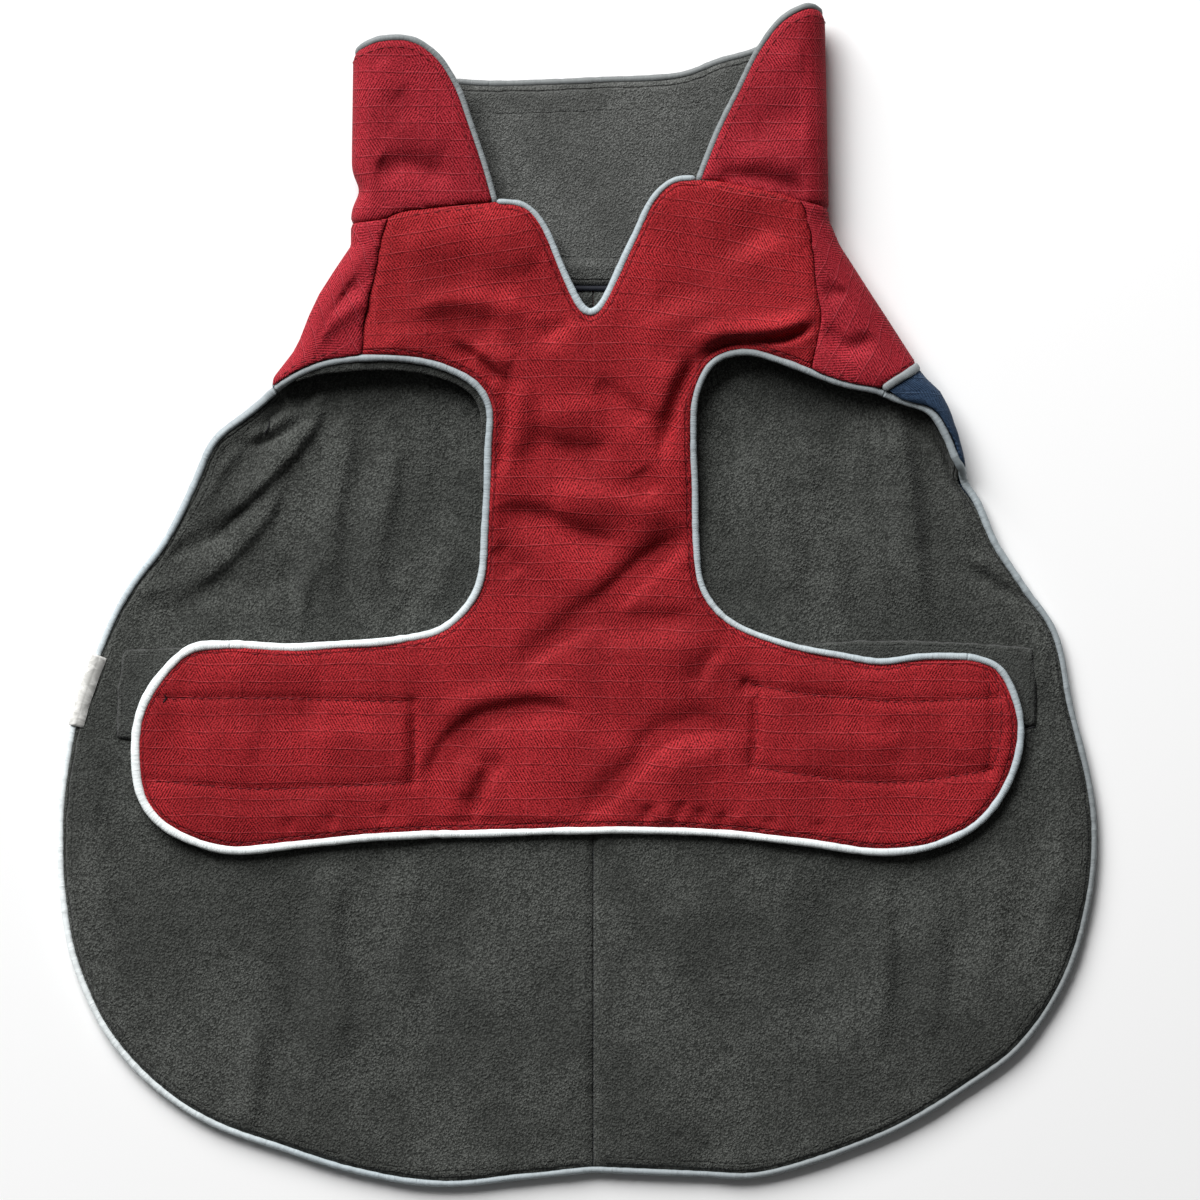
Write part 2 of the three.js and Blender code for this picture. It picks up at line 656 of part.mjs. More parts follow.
const neckLeft = reversed(extended(reversed(between(neckLine, leftShoulderLine[0], neckCentre)), overrun));
const neckRight = extended(between(neckLine, neckCentre, rightShoulderLine[0]), overrun);

// Back panel: navy shell under, fleece lining in two halves on it
const shellDepth = shellThick;
const liningDepth = liningTop;
add('back_shell', rolledPanel(joinCurves(
  shiftRolled(extended(yokeLine, overrun), -stripInset, 0),
  shiftRolled(hemRightLine, -cordInset, shellDepth),
  shiftRolled(reversed(extended(hemLeftLine, overrun)), -cordInset, shellDepth),
), wideCell, 0, shellThick), navyRipstop);
add('back_lining_left', rolledPanel(joinCurves(
  shiftRolled(neckLeft, -tapeInset, liningDepth),
  shift(reversed(centreLine), -seamHalf),
  shiftRolled(extended(reversed(hemLeftLine), overrun), -cordInset, liningDepth),
  shiftRolled(leftYokeLong, -cordInset, liningDepth),
  shiftRolled(reversed(leftShoulderLine), -cordInset, liningDepth),
), wideCell, liningLow, liningTop, liningFolds), greyFleece);
add('back_lining_right', rolledPanel(joinCurves(
  shiftRolled(neckRight, -tapeInset, liningDepth),
  shiftRolled(rightShoulderLine, -cordInset, liningDepth),
  shiftRolled(rightYokeLong, -cordInset, liningDepth),
  shiftRolled(reversed(extended(reversed(hemRightLine), overrun)), -cordInset, liningDepth),
  shift(centreLine, -seamHalf),
), wideCell, liningLow, liningTop, liningFolds), greyFleece);

// Yoke: one red piece across the back and round both shoulders to the seams on top
add('yoke', rolledPanel(joinCurves(
  shiftRolled(neckYoke, -seamHalf, 0),
  shiftRolled(rightShoulderLine, -seamHalf, 0),
  shiftRolled(rightYokeLong, -cordInset, shellDepth),
  shiftRolled(reversed(yokeLine), -stripInset, 0),
  shiftRolled(leftYokeLong, -cordInset, shellDepth),
  shiftRolled(reversed(leftShoulderLine), -seamHalf, 0),
), wideCell, 0, shellThick), redRipstop);
const stripEnds = { left: 3.5, right: 5.5 };
add('yoke_piping', rolledStrip(cutEnds(yokeLine, stripEnds.left, stripEnds.right), stripHalf,
  0, shellThick), reflectiveTape);

// Stand collar, folded over at both sides
const collarOutline = (depth, neckInset) => joinCurves(
  shiftRolled(collarLine, -cordInset, depth), shiftRolled(reversed(neckLine), -neckInset, depth));
add('collar_shell', rolledPanel(
  collarOutline(shellDepth, seamHalf), wideCell, 0, shellThick), redRipstop);
add('collar_lining', rolledPanel(
  collarOutline(liningDepth, tapeInset), wideCell, liningLow, liningTop), greyFleece);
const tapeEnd = 6;
const tapeDrop = 0.6;
add('neck_tape', rolledStrip(cutEnds(neckYoke, tapeEnd, tapeEnd), tapeHalf,
  liningLow, liningTop - tapeDrop), darkTape);

// Chest panel with the belly band in one piece, hook patches let into the underside of its ends
const hookPatches = table(['name', 'left', 'right', 'bottom', 'top'], [
  ['hook_patch_left', -132, -53, -60, -33],
  ['hook_patch_right', 57, 129, -58, -32],
]);
const patchSink = 0.2;
const hookDepth = chestThick - patchThick - patchSink;
const recessEdge = { from: 6, to: 11 };
const recess = (x, y) => hookPatches.reduce((most, patch) => {
  const outside = Math.max(patch.left - x, x - patch.right, patch.bottom - y, y - patch.top);
  return Math.max(most, 1 - smooth(recessEdge.from, recessEdge.to, outside));
}, 0) * (chestThick - hookDepth + layerGap);
const chestLoop = joinCurves(
  shift(seenFromAbove(reversed(between(neckLine, neckLine[0], leftShoulderLine[0]))), -seamGap),
  shift(plan(neckline, closeStep), -cordInset),
  shift(seenFromAbove(reversed(between(neckLine, rightShoulderLine[0], neckLine[neckLine.length - 1]))),
    -seamGap),
  shift(seenFromAbove(rightShoulderLine), -seamGap),
  shift(reversed(plan(rightLegEdge, outlineStep)), -cordInset),
  shift(reversed(plan(bandEdge, outlineStep)), -cordInset),
  shift(reversed(plan(leftLegEdge, outlineStep)), -cordInset),
  shift(seenFromAbove(reversed(leftShoulderLine)), -seamGap),
);
add('chest_panel', wall(
  triangulate(chestLoop, innerPoints(chestLoop, closeCell, false)),
  (x, y) => chestPoint(x, y, chestThick - recess(x, y)),
  (x, y) => chestPoint(x, y, 0),
), redRipstop);

const rectangle = ({ left, right, bottom, top }) => {
  const corners = [[left, top], [right, top], [right, bottom], [left, bottom], [left, top]];
  return joinCurves(...corners.slice(1).map(([x, y], index) => {
    const [fromX, fromY] = corners[index];
    const count = Math.max(1, Math.round(Math.hypot(x - fromX, y - fromY) / closeCell));
    return Array.from({ length: count }, (_, step) => (
      { x: mix(fromX, x, step / count), y: mix(fromY, y, step / count) }));
  }));
};
for (const patch of hookPatches) {
  const loop = rectangle(patch);
  add(patch.name, wall(triangulate(loop, innerPoints(loop, closeCell, false)),
    (x, y) => chestPoint(x, y, hookDepth + patchThick),
    (x, y) => chestPoint(x, y, hookDepth)), hookTape);
}

// Fleece patches sewn on the lining behind the band ends
const liningPatches = table(['name', 'left', 'right', 'bottom', 'top'], [
  ['lining_patch_left', -146.5, -62, -45.5, -17],
  ['lining_patch_right', 68, 145.5, -42.5, -15.5],
]);
for (const patch of liningPatches) {
  const low = liningTop + layerGap;
  add(patch.name, rolledPanel(rectangle(patch), wideCell, low, low + patchThick), greyFleece);
}

// Reflective piping along every free edge, with the lengths left open where two cords meet
const cordGap = { meeting: layerGap, hem: 1.5, yokeCorner: 2, shoulder: 3, neckline: 1.5, collar: 5 };
const hemRound = [
  ...cutEnds(hemRightLine, cordGap.meeting, 0),
  ...cutEnds(reversed(hemLeftLine), 0, cordGap.hem).slice(1),
];
const legLeft = [
  ...rolledPath(cutEnds(leftYokeLine, cordGap.yokeCorner, 0), edgeDepth),
  ...chestPath(cutEnds(plan(leftLegEdge, cordStep), cordGap.shoulder, cordGap.meeting)),
];
const legRight = [
  ...chestPath(cutEnds(plan(rightLegEdge, cordStep), cordGap.meeting, cordGap.shoulder)),
  ...rolledPath(cutEnds(rightYokeLine, 0, cordGap.meeting), edgeDepth),
];
const bandRound = chestPath(cutEnds(plan(bandEdge, cordStep), cordGap.meeting, cordGap.meeting));
const neckRound = chestPath(cutEnds(plan(neckline, closeStep), cordGap.neckline, cordGap.neckline));
const collarRound = rolledPath(cutEnds(collarLine, cordGap.collar, cordGap.collar), edgeDepth);
add('hem_piping', sweep(rolledPath(hemRound, edgeDepth), roundCord), reflectiveTape);
add('leg_piping_left', sweep(legLeft, roundCord), reflectiveTape);
add('leg_piping_right', sweep(legRight, roundCord), reflectiveTape);
add('band_piping', sweep(bandRound, roundCord), reflectiveTape);
add('neckline_piping', sweep(neckRound, roundCord), reflectiveTape);
add('collar_piping', sweep(collarRound, roundCord), reflectiveTape);

// Small satin tab wrapped over the left hem
const tabFrom = 104;
const tabToY = -42;
const tabInner = cordRadius + layerGap;
const tabOuter = tabInner + patchThick;
const tabOverlap = 3;
const tabUnder = -20;
const tabLow = liningTop - edgeDepth + layerGap;
const tabPath = cutEnds(hemLeftLine, tabFrom, 0).filter(({ y }) => y > tabToY);
const tabProfile = [
  ...arc(tabOuter, tabUnder, 90, 5),
  { side: -seamHalf * 4, height: tabLow + patchThick },
  { side: -tabOverlap, height: tabLow + patchThick },
  { side: -tabOverlap, height: tabLow },
  { side: -seamHalf * 4, height: tabLow },
  ...arc(tabInner, 90, tabUnder, 5),
];
add('side_tab', sweep(rolledPath(tabPath, edgeDepth), tabProfile), satinTape);

export default coat;
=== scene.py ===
import bpy
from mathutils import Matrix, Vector
import numpy as np


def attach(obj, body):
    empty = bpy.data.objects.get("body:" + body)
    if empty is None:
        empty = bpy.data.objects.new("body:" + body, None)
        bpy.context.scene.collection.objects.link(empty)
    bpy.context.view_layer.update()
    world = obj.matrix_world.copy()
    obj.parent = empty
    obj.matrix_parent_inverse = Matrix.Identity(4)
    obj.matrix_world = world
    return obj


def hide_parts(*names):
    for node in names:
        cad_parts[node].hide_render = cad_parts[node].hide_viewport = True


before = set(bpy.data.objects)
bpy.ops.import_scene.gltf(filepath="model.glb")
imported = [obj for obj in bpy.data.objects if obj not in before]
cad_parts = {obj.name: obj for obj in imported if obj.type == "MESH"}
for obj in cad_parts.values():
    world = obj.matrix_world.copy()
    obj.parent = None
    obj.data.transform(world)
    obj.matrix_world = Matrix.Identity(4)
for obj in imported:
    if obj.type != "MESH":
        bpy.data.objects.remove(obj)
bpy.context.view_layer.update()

# All shapes are worked out in millimetres and turned to metres when the mesh is made.
coat = dict(restHeight=6.95, shoulderRise=8.4, middleSag=4.2, sagHalfWidth=48, middleX=4, riseFrom=0, riseTo=78,
            foldBlend=26, patchRise=1.1, creased=1.5, notch=2.4, notchX=-73, notchY=129.6)

# Where the under cloth leaves the floor on each side and the radius of its bend, by level:
# y, left start, left radius, right start, right radius
bends = np.array([
    [-200, -190, 200, 190, 200], [-60, -180, 200, 180, 200], [-14, -160, 200, 160, 200],
    [2, -129.8, 141, 134.8, 63], [18, -113.6, 81, 126.2, 21], [32, -103.5, 66, 122.5, 8.2],
    [40, -99.5, 55, 117.8, 7.0], [51, -96.8, 33, 115.1, 7.0], [59, -95.5, 13.5, 112.4, 7.0],
    [62, -93.8, 9.8, 111, 7.0], [65.5, -91.5, 7.2, 109, 7.0], [70, -90, 7.2, 103.7, 7.5],
    [78, -83.8, 7.2, 98.5, 7.5], [82, -81.7, 7.2, 95.9, 7.5], [89.5, -78.7, 7.3, 91.1, 7.5],
    [96.5, -75.3, 7.4, 86.5, 7.5], [104, -70.4, 7.5, 81.7, 7.5], [112, -65, 7.5, 76.5, 7.5],
    [120, -65, 7.5, 73, 7.5], [190, -63, 8.5, 70.5, 8.5]])


# Picture places, in pixels of the 1200 wide view from above, turned to millimetres
def onCoat(rows):
    places = np.array(rows, float)
    places[:, :2] = (places[:, :2] - [577.5, 596]) * [0.32, -0.32]
    return places


# Runs smoothly from 0 to 1 while value goes from low to high: 3t squared less 2t cubed
def smooth(low, high, value):
    t = np.clip((value - low) / (high - low), 0, 1)
    return t * t * (3 - 2 * t)


# The four bend numbers at a level, each straight between the rows above and below
def bendAt(y):
    return [np.interp(y, bends[:, 0], bends[:, column]) for column in (1, 2, 3, 4)]


# Start and radius of the bend on the side of the coat where x lies
def bendOf(x, y):
    leftStart, leftRadius, rightStart, rightRadius = bendAt(y)
    left = x < coat["middleX"]
    return np.where(left, -1.0, 1.0), np.where(left, leftStart, rightStart), \
        np.where(left, leftRadius, rightRadius)


# Soft uneven ground: a sum of sine waves in fixed seeded directions, about as long as size
def unevenness(x, y, size, seed):
    rng = np.random.default_rng(seed)
    total = np.zeros_like(x)
    for _ in range(14):
        turn, phase, length = rng.uniform(0, 2 * np.pi), rng.uniform(0, 2 * np.pi), size * rng.uniform(0.7, 1.6)
        total += np.sin((x * np.cos(turn) + y * np.sin(turn)) * 2 * np.pi / length + phase)
    return total / 14 ** 0.5


# Rows of vectors, each made 1 long
def unit(rows):
    return rows / np.linalg.norm(rows, axis=1)[:, None]


# Length along a polyline at each of its points
def lengthsOf(points):
    return np.concatenate([[0], np.cumsum(np.linalg.norm(np.diff(points, axis=0), axis=1))])


# Rows at new lengths, each straight between the rows beside it
def rowsAt(at, lengths, rows):
    return np.stack([np.interp(at, lengths, column) for column in rows.T], axis=1)


# Even points along a polyline, by its length
def evenSteps(points, step):
    lengths = lengthsOf(points)
    places = np.linspace(0, lengths[-1], max(2, round(lengths[-1] / step)) + 1)
    return rowsAt(places, lengths, points)


# Smooth curve through rows: cubic pieces whose slope at a row is that of the parabola through
# the row and its neighbours, then cut into even steps
def trace(rows, step):
    rows = np.asarray(rows, float)[:, :2]
    if len(rows) < 3:
        return evenSteps(rows, step)
    gap = np.sqrt(np.linalg.norm(np.diff(rows, axis=0), axis=1))[:, None]
    at = np.concatenate([[0], np.cumsum(gap[:, 0])])
    slope = np.diff(rows, axis=0) / gap
    tangent = np.concatenate([slope[:1], (slope[:-1] * gap[1:] + slope[1:] * gap[:-1]) / (gap[1:] + gap[:-1]),
                              slope[-1:]])
    fine = np.linspace(0, at[-1], 60 * len(rows))
    k = np.clip(np.searchsorted(at, fine, side="right") - 1, 0, len(gap) - 1)
    s, g = ((fine - at[k]) / gap[k, 0])[:, None], gap[k]
    curve = ((2 * s ** 3 - 3 * s ** 2 + 1) * rows[k] + (s ** 3 - 2 * s ** 2 + s) * g * tangent[k]
             + (3 * s ** 2 - 2 * s ** 3) * rows[k + 1] + (s ** 3 - s ** 2) * g * tangent[k + 1])
    return evenSteps(curve, step)


# Distance of many points to the samples of a curve, and the number of the nearest
def nearestOn(curve, x, y):
    distance, index = np.empty(len(x)), np.empty(len(x), int)
    for part in np.array_split(np.arange(len(x)), max(1, len(x) * len(curve) // 4000000)):
        d = (x[part, None] - curve[:, 0]) ** 2 + (y[part, None] - curve[:, 1]) ** 2
        index[part] = d.argmin(1)
        distance[part] = np.sqrt(d[np.arange(len(part)), index[part]])
    return distance, index


# Height of creases: each is height times exp(-(distance / width) squared), faded over the first
# and last quarter of its path; two widths are those left and right of the path, for a fold that
# lies over to one side
def creaseHeight(x, y, creases, slopes=(1.0, 1.0)):
    total = np.zeros_like(x)
    for height, width, *path in creases:
        line = trace(onCoat(np.reshape(path, (-1, 2))), 1.0)
        left, right = np.multiply(slopes, width)
        reach = max(left, right) * 4
        near = np.flatnonzero((x > line[:, 0].min() - reach) & (x < line[:, 0].max() + reach)
                              & (y > line[:, 1].min() - reach) & (y < line[:, 1].max() + reach))
        if not len(near):
            continue
        distance, index = nearestOn(line, x[near], y[near])
        along = index / (len(line) - 1)
        ahead = np.gradient(line, axis=0)[index]
        onLeft = ahead[:, 0] * (y[near] - line[index, 1]) > ahead[:, 1] * (x[near] - line[index, 0])
        width = np.where(onLeft, left, right)
        fade = smooth(-0.08, 0.25, along) * (1 - smooth(0.75, 1.08, along))
        total[near] += height * fade * np.exp(-(distance / width) ** 2)
    return total


# Creases of the shoulders and of the collar's folded sides: height, width or the two widths, and
# the picture places of the path, x and y in turn
shoulderCreases = [
    (1.3, 3.4, 298, 345, 337, 318, 370, 292), (-1.0, 4.0, 312, 318, 340, 300, 366, 284),
    (1.1, 2.6, 834, 283, 850, 284, 869, 290), (-0.9, 3.0, 822, 300, 835, 292, 846, 298),
    (0.8, 3.0, 858, 300, 872, 312, 884, 318), (-1.4, 3.0, 822, 326, 846, 348, 876, 338),
    (1.0, 3.0, 868, 330, 885, 325, 900, 338), (1.5, (3.0, 1.3), 353, 202, 360, 186, 370, 168, 384, 152),
    (-1.2, 3.8, 374, 178, 404, 166, 450, 182), (-0.7, 2.4, 356, 138, 366, 146, 378, 146),
    (0.6, 4.5, 400, 120, 420, 140, 445, 150), (0.8, 4.0, 378, 60, 392, 84, 402, 96),
    (-1.5, 3.0, 715, 176, 758, 180, 788, 188, 808, 200), (0.8, 4.0, 735, 160, 770, 158, 800, 172),
    (-0.7, 5.0, 752, 128, 790, 120, 818, 128), (0.7, 5.0, 770, 70, 790, 60, 812, 66)]


# Height of the outer face of the upper cloth: rest height, plus a smooth rise to the shoulders
# less a bell shaped sag in the middle, rounded off as a circle at the side folds
def upperHeight(x, y):
    rise = smooth(coat["riseFrom"], coat["riseTo"], y)
    sag = coat["middleSag"] * np.exp(-((x - coat["middleX"]) / coat["sagHalfWidth"]) ** 2)
    overPatch = coat["patchRise"] * smooth(50, 62, abs(x - coat["middleX"])) * (1 - smooth(-12, 4, y))
    free = coat["restHeight"] + rise * (coat["shoulderRise"] - sag) + overPatch
    leftStart, leftRadius, rightStart, rightRadius = bendAt(y)
    leftIn, rightIn = x - leftStart + leftRadius, rightStart + rightRadius - x
    inward = np.minimum(leftIn, rightIn)
    radius = np.where(leftIn < rightIn, leftRadius, rightRadius)
    rounded = radius * (1 + np.sqrt(1 - (1 - np.clip(inward / radius, 0, 1)) ** 2))
    blend = smooth(0, 1, (inward - radius) / coat["foldBlend"])
    return np.where((y < 40) | (radius > 10), free, rounded + (free - rounded) * blend)


# Flat pattern place of outline rows (x, y, on top or not): the length of cloth past the start
# of the bend is radius times the turn, and half a turn plus the way back where it lies on top
def unroll(rows):
    rows = np.asarray(rows, float)
    x, y, top = rows.T
    side, start, radius = bendOf(x, y)
    beyond = (x - start) * side
    turn = np.arcsin(np.clip(beyond / radius, 0, 1))
    under = np.where(beyond > 0, radius * turn, beyond)
    over = np.where(beyond > 0, radius * (np.pi - turn), np.pi * radius - beyond)
    return np.stack([start + side * np.where(top > 0, over, under), y], axis=1)


# Outer face at flat pattern places: the floor, then a circle of the bend's radius, then the top;
# a bell shaped push inwards makes the notch between the collar and the left shoulder
def outerFace(x, y):
    side, start, radius = bendOf(x, y)
    length = (x - start) * side
    turn = np.clip(length / radius, 0, np.pi)
    upperX = start - side * (length - np.pi * radius)
    onTop = length > np.pi * radius
    px = np.where(length <= 0, x, np.where(onTop, upperX, start + side * radius * np.sin(turn)))
    top = upperHeight(px, y) + coat["creased"] * creaseHeight(px, y, shoulderCreases) if onTop.any() else 0 * x
    pz = np.where(length <= 0, 0, np.where(onTop, top, radius * (1 - np.cos(turn))))
    px = px + coat["notch"] * np.exp(-((y - coat["notchY"]) / 4.5) ** 2 - ((px - coat["notchX"]) / 6) ** 2)
    return np.stack([px, y, pz], axis=1)


# Point and inward normal of the rolled cloth at a depth under its outer face
def rolledWithNormal(x, y, depth):
    step = 0.4
    alongX = outerFace(x + step, y) - outerFace(x - step, y)
    alongY = outerFace(x, y + step) - outerFace(x, y - step)
    inward = unit(np.cross(alongX, alongY))
    return outerFace(x, y) + inward * np.reshape(depth, (-1, 1)), inward


# The point alone
def rolled(x, y, depth):
    return rolledWithNormal(x, y, depth)[0]


# A curve moved to its left by a distance, measured on the rolled cloth at a depth, or in plan
def shifted(points, distance, depth=None):
    dx, dy = np.gradient(points, axis=0).T
    if depth is None:
        xx, xy, yy = 1.0, 0.0, 1.0
    else:
        x, y = points.T
        alongX = (rolled(x + 0.3, y, depth) - rolled(x - 0.3, y, depth)) / 0.6
        alongY = (rolled(x, y + 0.3, depth) - rolled(x, y - 0.3, depth)) / 0.6
        xx, xy, yy = (alongX ** 2).sum(1), (alongX * alongY).sum(1), (alongY ** 2).sum(1)
    sideX, sideY = -dy * yy - dx * xy, dx * xx + dy * xy
    length = np.sqrt(sideX ** 2 * xx + 2 * sideX * sideY * xy + sideY ** 2 * yy)
    return points + np.stack([sideX, sideY], axis=1) / length[:, None] * distance


# A curve carried straight on before its first point
def carriedOn(points, length):
    back = points[0] - points[1]
    return np.concatenate([[points[0] + back / np.linalg.norm(back) * length], points])


# Two curves cut back to where the end of one crosses the start of the other
def trimmed(first, second, reach=40):
    p, q = first[-reach:], second[:reach]
    r, s = np.diff(p, axis=0)[:, None], np.diff(q, axis=0)[None]
    w = q[None, :-1] - p[:-1, None]
    cross = r[..., 0] * s[..., 1] - r[..., 1] * s[..., 0] + 1e-12
    along = (w[..., 0] * s[..., 1] - w[..., 1] * s[..., 0]) / cross
    other = (w[..., 0] * r[..., 1] - w[..., 1] * r[..., 0]) / cross
    hits = np.argwhere((along >= 0) & (along <= 1) & (other >= 0) & (other <= 1))
    if not len(hits):
        return first, second
    i, j = hits[-1]
    meet = p[i] + along[i, j] * r[i, 0]
    return np.concatenate([first[:len(first) - len(p) + i + 1], [meet]]), second[j + 1:]


# Curves joined end to end into one closed outline
def joined(*curves):
    curves = list(curves)
    for k in range(len(curves)):
        nextOne = (k + 1) % len(curves)
        curves[k], curves[nextOne] = trimmed(curves[k], curves[nextOne])
    loop = np.concatenate(curves)
    keep = np.linalg.norm(loop - np.roll(loop, 1, axis=0), axis=1) > 0.05
    return loop[keep]


# Part of a curve between its points nearest to two places
def between(points, start, end):
    a, b = [np.linalg.norm(points - place, axis=1).argmin() for place in (start, end)]
    return np.concatenate([[start], points[a + 1:b], [end]])


# Part of a curve that leaves out a length at each end
def cutEnds(points, atStart, atEnd):
    lengths = lengthsOf(points)
    inner = (lengths > atStart + 0.2) & (lengths < lengths[-1] - atEnd - 0.2)
    first, last = rowsAt([atStart, lengths[-1] - atEnd], lengths, points)
    return np.concatenate([[first], points[inner], [last]])


# Grid over an outline: every node well inside stays, the nodes just round them are moved to the
# nearest place on the outline, and each cell with a node inside becomes a face
def gridIn(loop, step):
    low, high = loop.min(0) - 1.6 * step, loop.max(0) + 1.6 * step
    xs, ys = np.arange(low[0], high[0], step), np.arange(low[1], high[1], step)
    gx, gy = np.meshgrid(xs, ys)
    inside = np.zeros(gx.shape, bool)
    for (ax, ay), (bx, by) in zip(loop, np.roll(loop, -1, axis=0)):
        rows = np.flatnonzero((ay > ys) != (by > ys))
        if len(rows):
            crossX = (bx - ax) * (ys[rows] - ay) / (by - ay) + ax
            inside[rows] ^= xs[None] < crossX[:, None]
    closeLoop = evenSteps(np.concatenate([loop, loop[:1]]), min(0.5, step / 3))
    edge = np.full(gx.shape, 50.0)
    spread = 14
    band = np.zeros_like(inside)
    cells = np.unique(np.floor((closeLoop - low) / step).astype(int), axis=0)
    for i in range(-spread, spread + 1):
        cols, rows = np.clip(cells[:, 0] + i, 0, len(xs) - 1), cells[:, 1]
        for j in range(-spread, spread + 1):
            band[np.clip(rows + j, 0, len(ys) - 1), cols] = True
    distance, index = nearestOn(closeLoop, gx[band], gy[band])
    edge[band] = distance
    nearest = np.zeros(gx.shape, int)
    nearest[band] = index
    core = inside & (edge > 0.4 * step)
    cell = core[:-1, :-1] | core[1:, :-1] | core[:-1, 1:] | core[1:, 1:]
    number = np.arange(gx.size).reshape(gx.shape)
    quads = np.stack([number[:-1, :-1], number[:-1, 1:], number[1:, 1:], number[1:, :-1]], axis=-1)[cell]
    used, quads = np.unique(quads, return_inverse=True)
    moved = ~core.ravel()[used]
    points = np.stack([gx.ravel()[used], gy.ravel()[used]], axis=1)
    points[moved] = closeLoop[nearest.ravel()[used][moved]]
    edges = np.where(moved, 0, edge.ravel()[used])
    return points, quads.reshape(-1, 4), edges


# Mesh object from points in millimetres and faces, with its own pattern coordinates and looks
def meshPiece(name, points, faces, materials, slot, uv=None, which=None, **marks):
    mesh = bpy.data.meshes.new(name)
    faces = np.asarray(faces)
    mesh.vertices.add(len(points))
    mesh.vertices.foreach_set("co", (np.asarray(points) * 0.001).ravel())
    mesh.loops.add(faces.size)
    mesh.loops.foreach_set("vertex_index", faces.ravel())
    mesh.polygons.add(len(faces))
    mesh.polygons.foreach_set("loop_start", np.arange(len(faces)) * faces.shape[1])
    mesh.polygons.foreach_set("use_smooth", np.ones(len(faces), bool))
    if which is not None:
        mesh.polygons.foreach_set("material_index", which)
    mesh.update(calc_edges=True)
    if uv is not None:
        layer = mesh.uv_layers.new(name="cut")
        layer.data.foreach_set("uv", (np.asarray(uv)[faces.ravel()] * 0.001).ravel())
    for mark, values in marks.items():
        mesh.attributes.new(mark, "FLOAT", "POINT").data.foreach_set("value", np.asarray(values, np.float32))
    mesh.validate()
    piece = bpy.data.objects.new(name, mesh)
    bpy.context.collection.objects.link(piece)
    for material in materials:
        mesh.materials.append(material)
    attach(piece, "root")
    return piece


# Closed wall of cloth between a low and a high face over the same grid, with a rim round it
def clothWall(name, quads, low, high, uv, materials, slot, lowLook=0, rimLook=0, **marks):
    count = len(low)
    edges = np.concatenate([quads[:, [k, (k + 1) % 4]] for k in range(4)])
    edges = edges[edges[:, 0] != edges[:, 1]]
    key = np.sort(edges, axis=1)
    _, back, uses = np.unique(key[:, 0] * count + key[:, 1], return_inverse=True, return_counts=True)
    rim = edges[uses[back] == 1]
    faces = np.concatenate([quads + count, quads[:, ::-1],
                            np.stack([rim[:, 0], rim[:, 1], rim[:, 1] + count, rim[:, 0] + count], axis=1)])
    looks = np.concatenate([np.zeros(len(quads)), np.full(len(quads), lowLook), np.full(len(rim), rimLook)])
    return meshPiece(name, np.concatenate([low, high]), faces, materials, slot,
                     np.concatenate([uv, uv]), looks.astype(np.int32),
                     **{mark: np.tile(values, 2) for mark, values in marks.items()})


# Flat size and area of the cut: the spread of the pattern and the area of the middle surface
def declareSheet(piece, uv, quads, low, high, restsOn, withPieces=()):
    middle = (low + high) / 2 * 0.001
    a, b, c, d = [middle[quads[:, k]] for k in range(4)]
    area = (np.linalg.norm(np.cross(b - a, c - a), axis=1) + np.linalg.norm(np.cross(c - a, d - a), axis=1)).sum() / 2
    width, length = (uv.max(0) - uv.min(0)) * 0.001
    min(area, width * length)
    print(piece.name, "cut", round(width, 3), "x", round(length, 3), "area", round(area, 4))


# Faces of a tube: a quad between each two neighbours in a ring and the same two in the next ring,
# and the faces given for one end turned round for the other
def tubeFaces(count, sides, end):
    number = np.arange(count * sides).reshape(count, sides)
    nextSide = np.roll(number, -1, axis=1)
    faces = np.stack([number[:-1], number[1:], nextSide[1:], nextSide[:-1]], axis=-1).reshape(-1, 4)
    return np.concatenate([faces, end, end[:, ::-1] + (count - 1) * sides])


# Pattern places on a tube: the length along it, and the way round it
def tubeUv(length, way):
    return np.stack([np.repeat(length, len(way)), np.tile(way, len(length))], axis=1)


# Bead along a path: an ellipse carried along it, side across and up along the cloth's normal,
# uneven by a few hundredths and rounded off at both ends; each point keeps the painted reflection
# given, which lightens the reflective tape's colour
def bead(name, path, normal, material, slot, side=1.45, up=1.4, gleam=0.5, seed=1, sides=12, rounded=True):
    along = unit(np.gradient(path, axis=0))
    across = unit(np.cross(along, normal))
    normal = np.cross(across, along)
    length = lengthsOf(path)
    wave = unevenness(length, 0 * length, 17, seed) * 0.035 + unevenness(length, 0 * length, 4, seed + 1) * 0.04
    toEnd = np.minimum(length, length[-1] - length) if rounded else 9 + 0 * length
    size = (1 + wave) * np.sqrt(np.clip(1 - (1 - np.clip(toEnd / 1.3, 0, 1)) ** 2, 0.04, 1))

    # a number, or numbers spread evenly along the cord
    def spread(values):
        values = np.atleast_1d(values)
        return np.interp(length / length[-1], np.linspace(0, 1, len(values)), values)

    sway = unevenness(length, 0 * length, 26, seed + 2)[:, None] * 0.08
    turn = np.arange(sides) / sides * 2 * np.pi
    profile = [np.sign(part) * abs(part) ** 0.82 for part in (np.cos(turn), np.sin(turn))]
    rings = (path + across * sway)[:, None] \
        + across[:, None] * (spread(side) * size)[:, None, None] * profile[0][None, :, None] \
        + normal[:, None] * (spread(up) * size)[:, None, None] * profile[1][None, :, None]
    count = len(path)
    faces = tubeFaces(count, sides, np.array([[0, k, k + 1, k + 2] for k in range(1, sides - 2, 2)]))
    return meshPiece(name, rings.reshape(-1, 3), faces, [material], slot, tubeUv(length, turn * 1.4),
                     gleam=np.repeat(spread(gleam), sides))


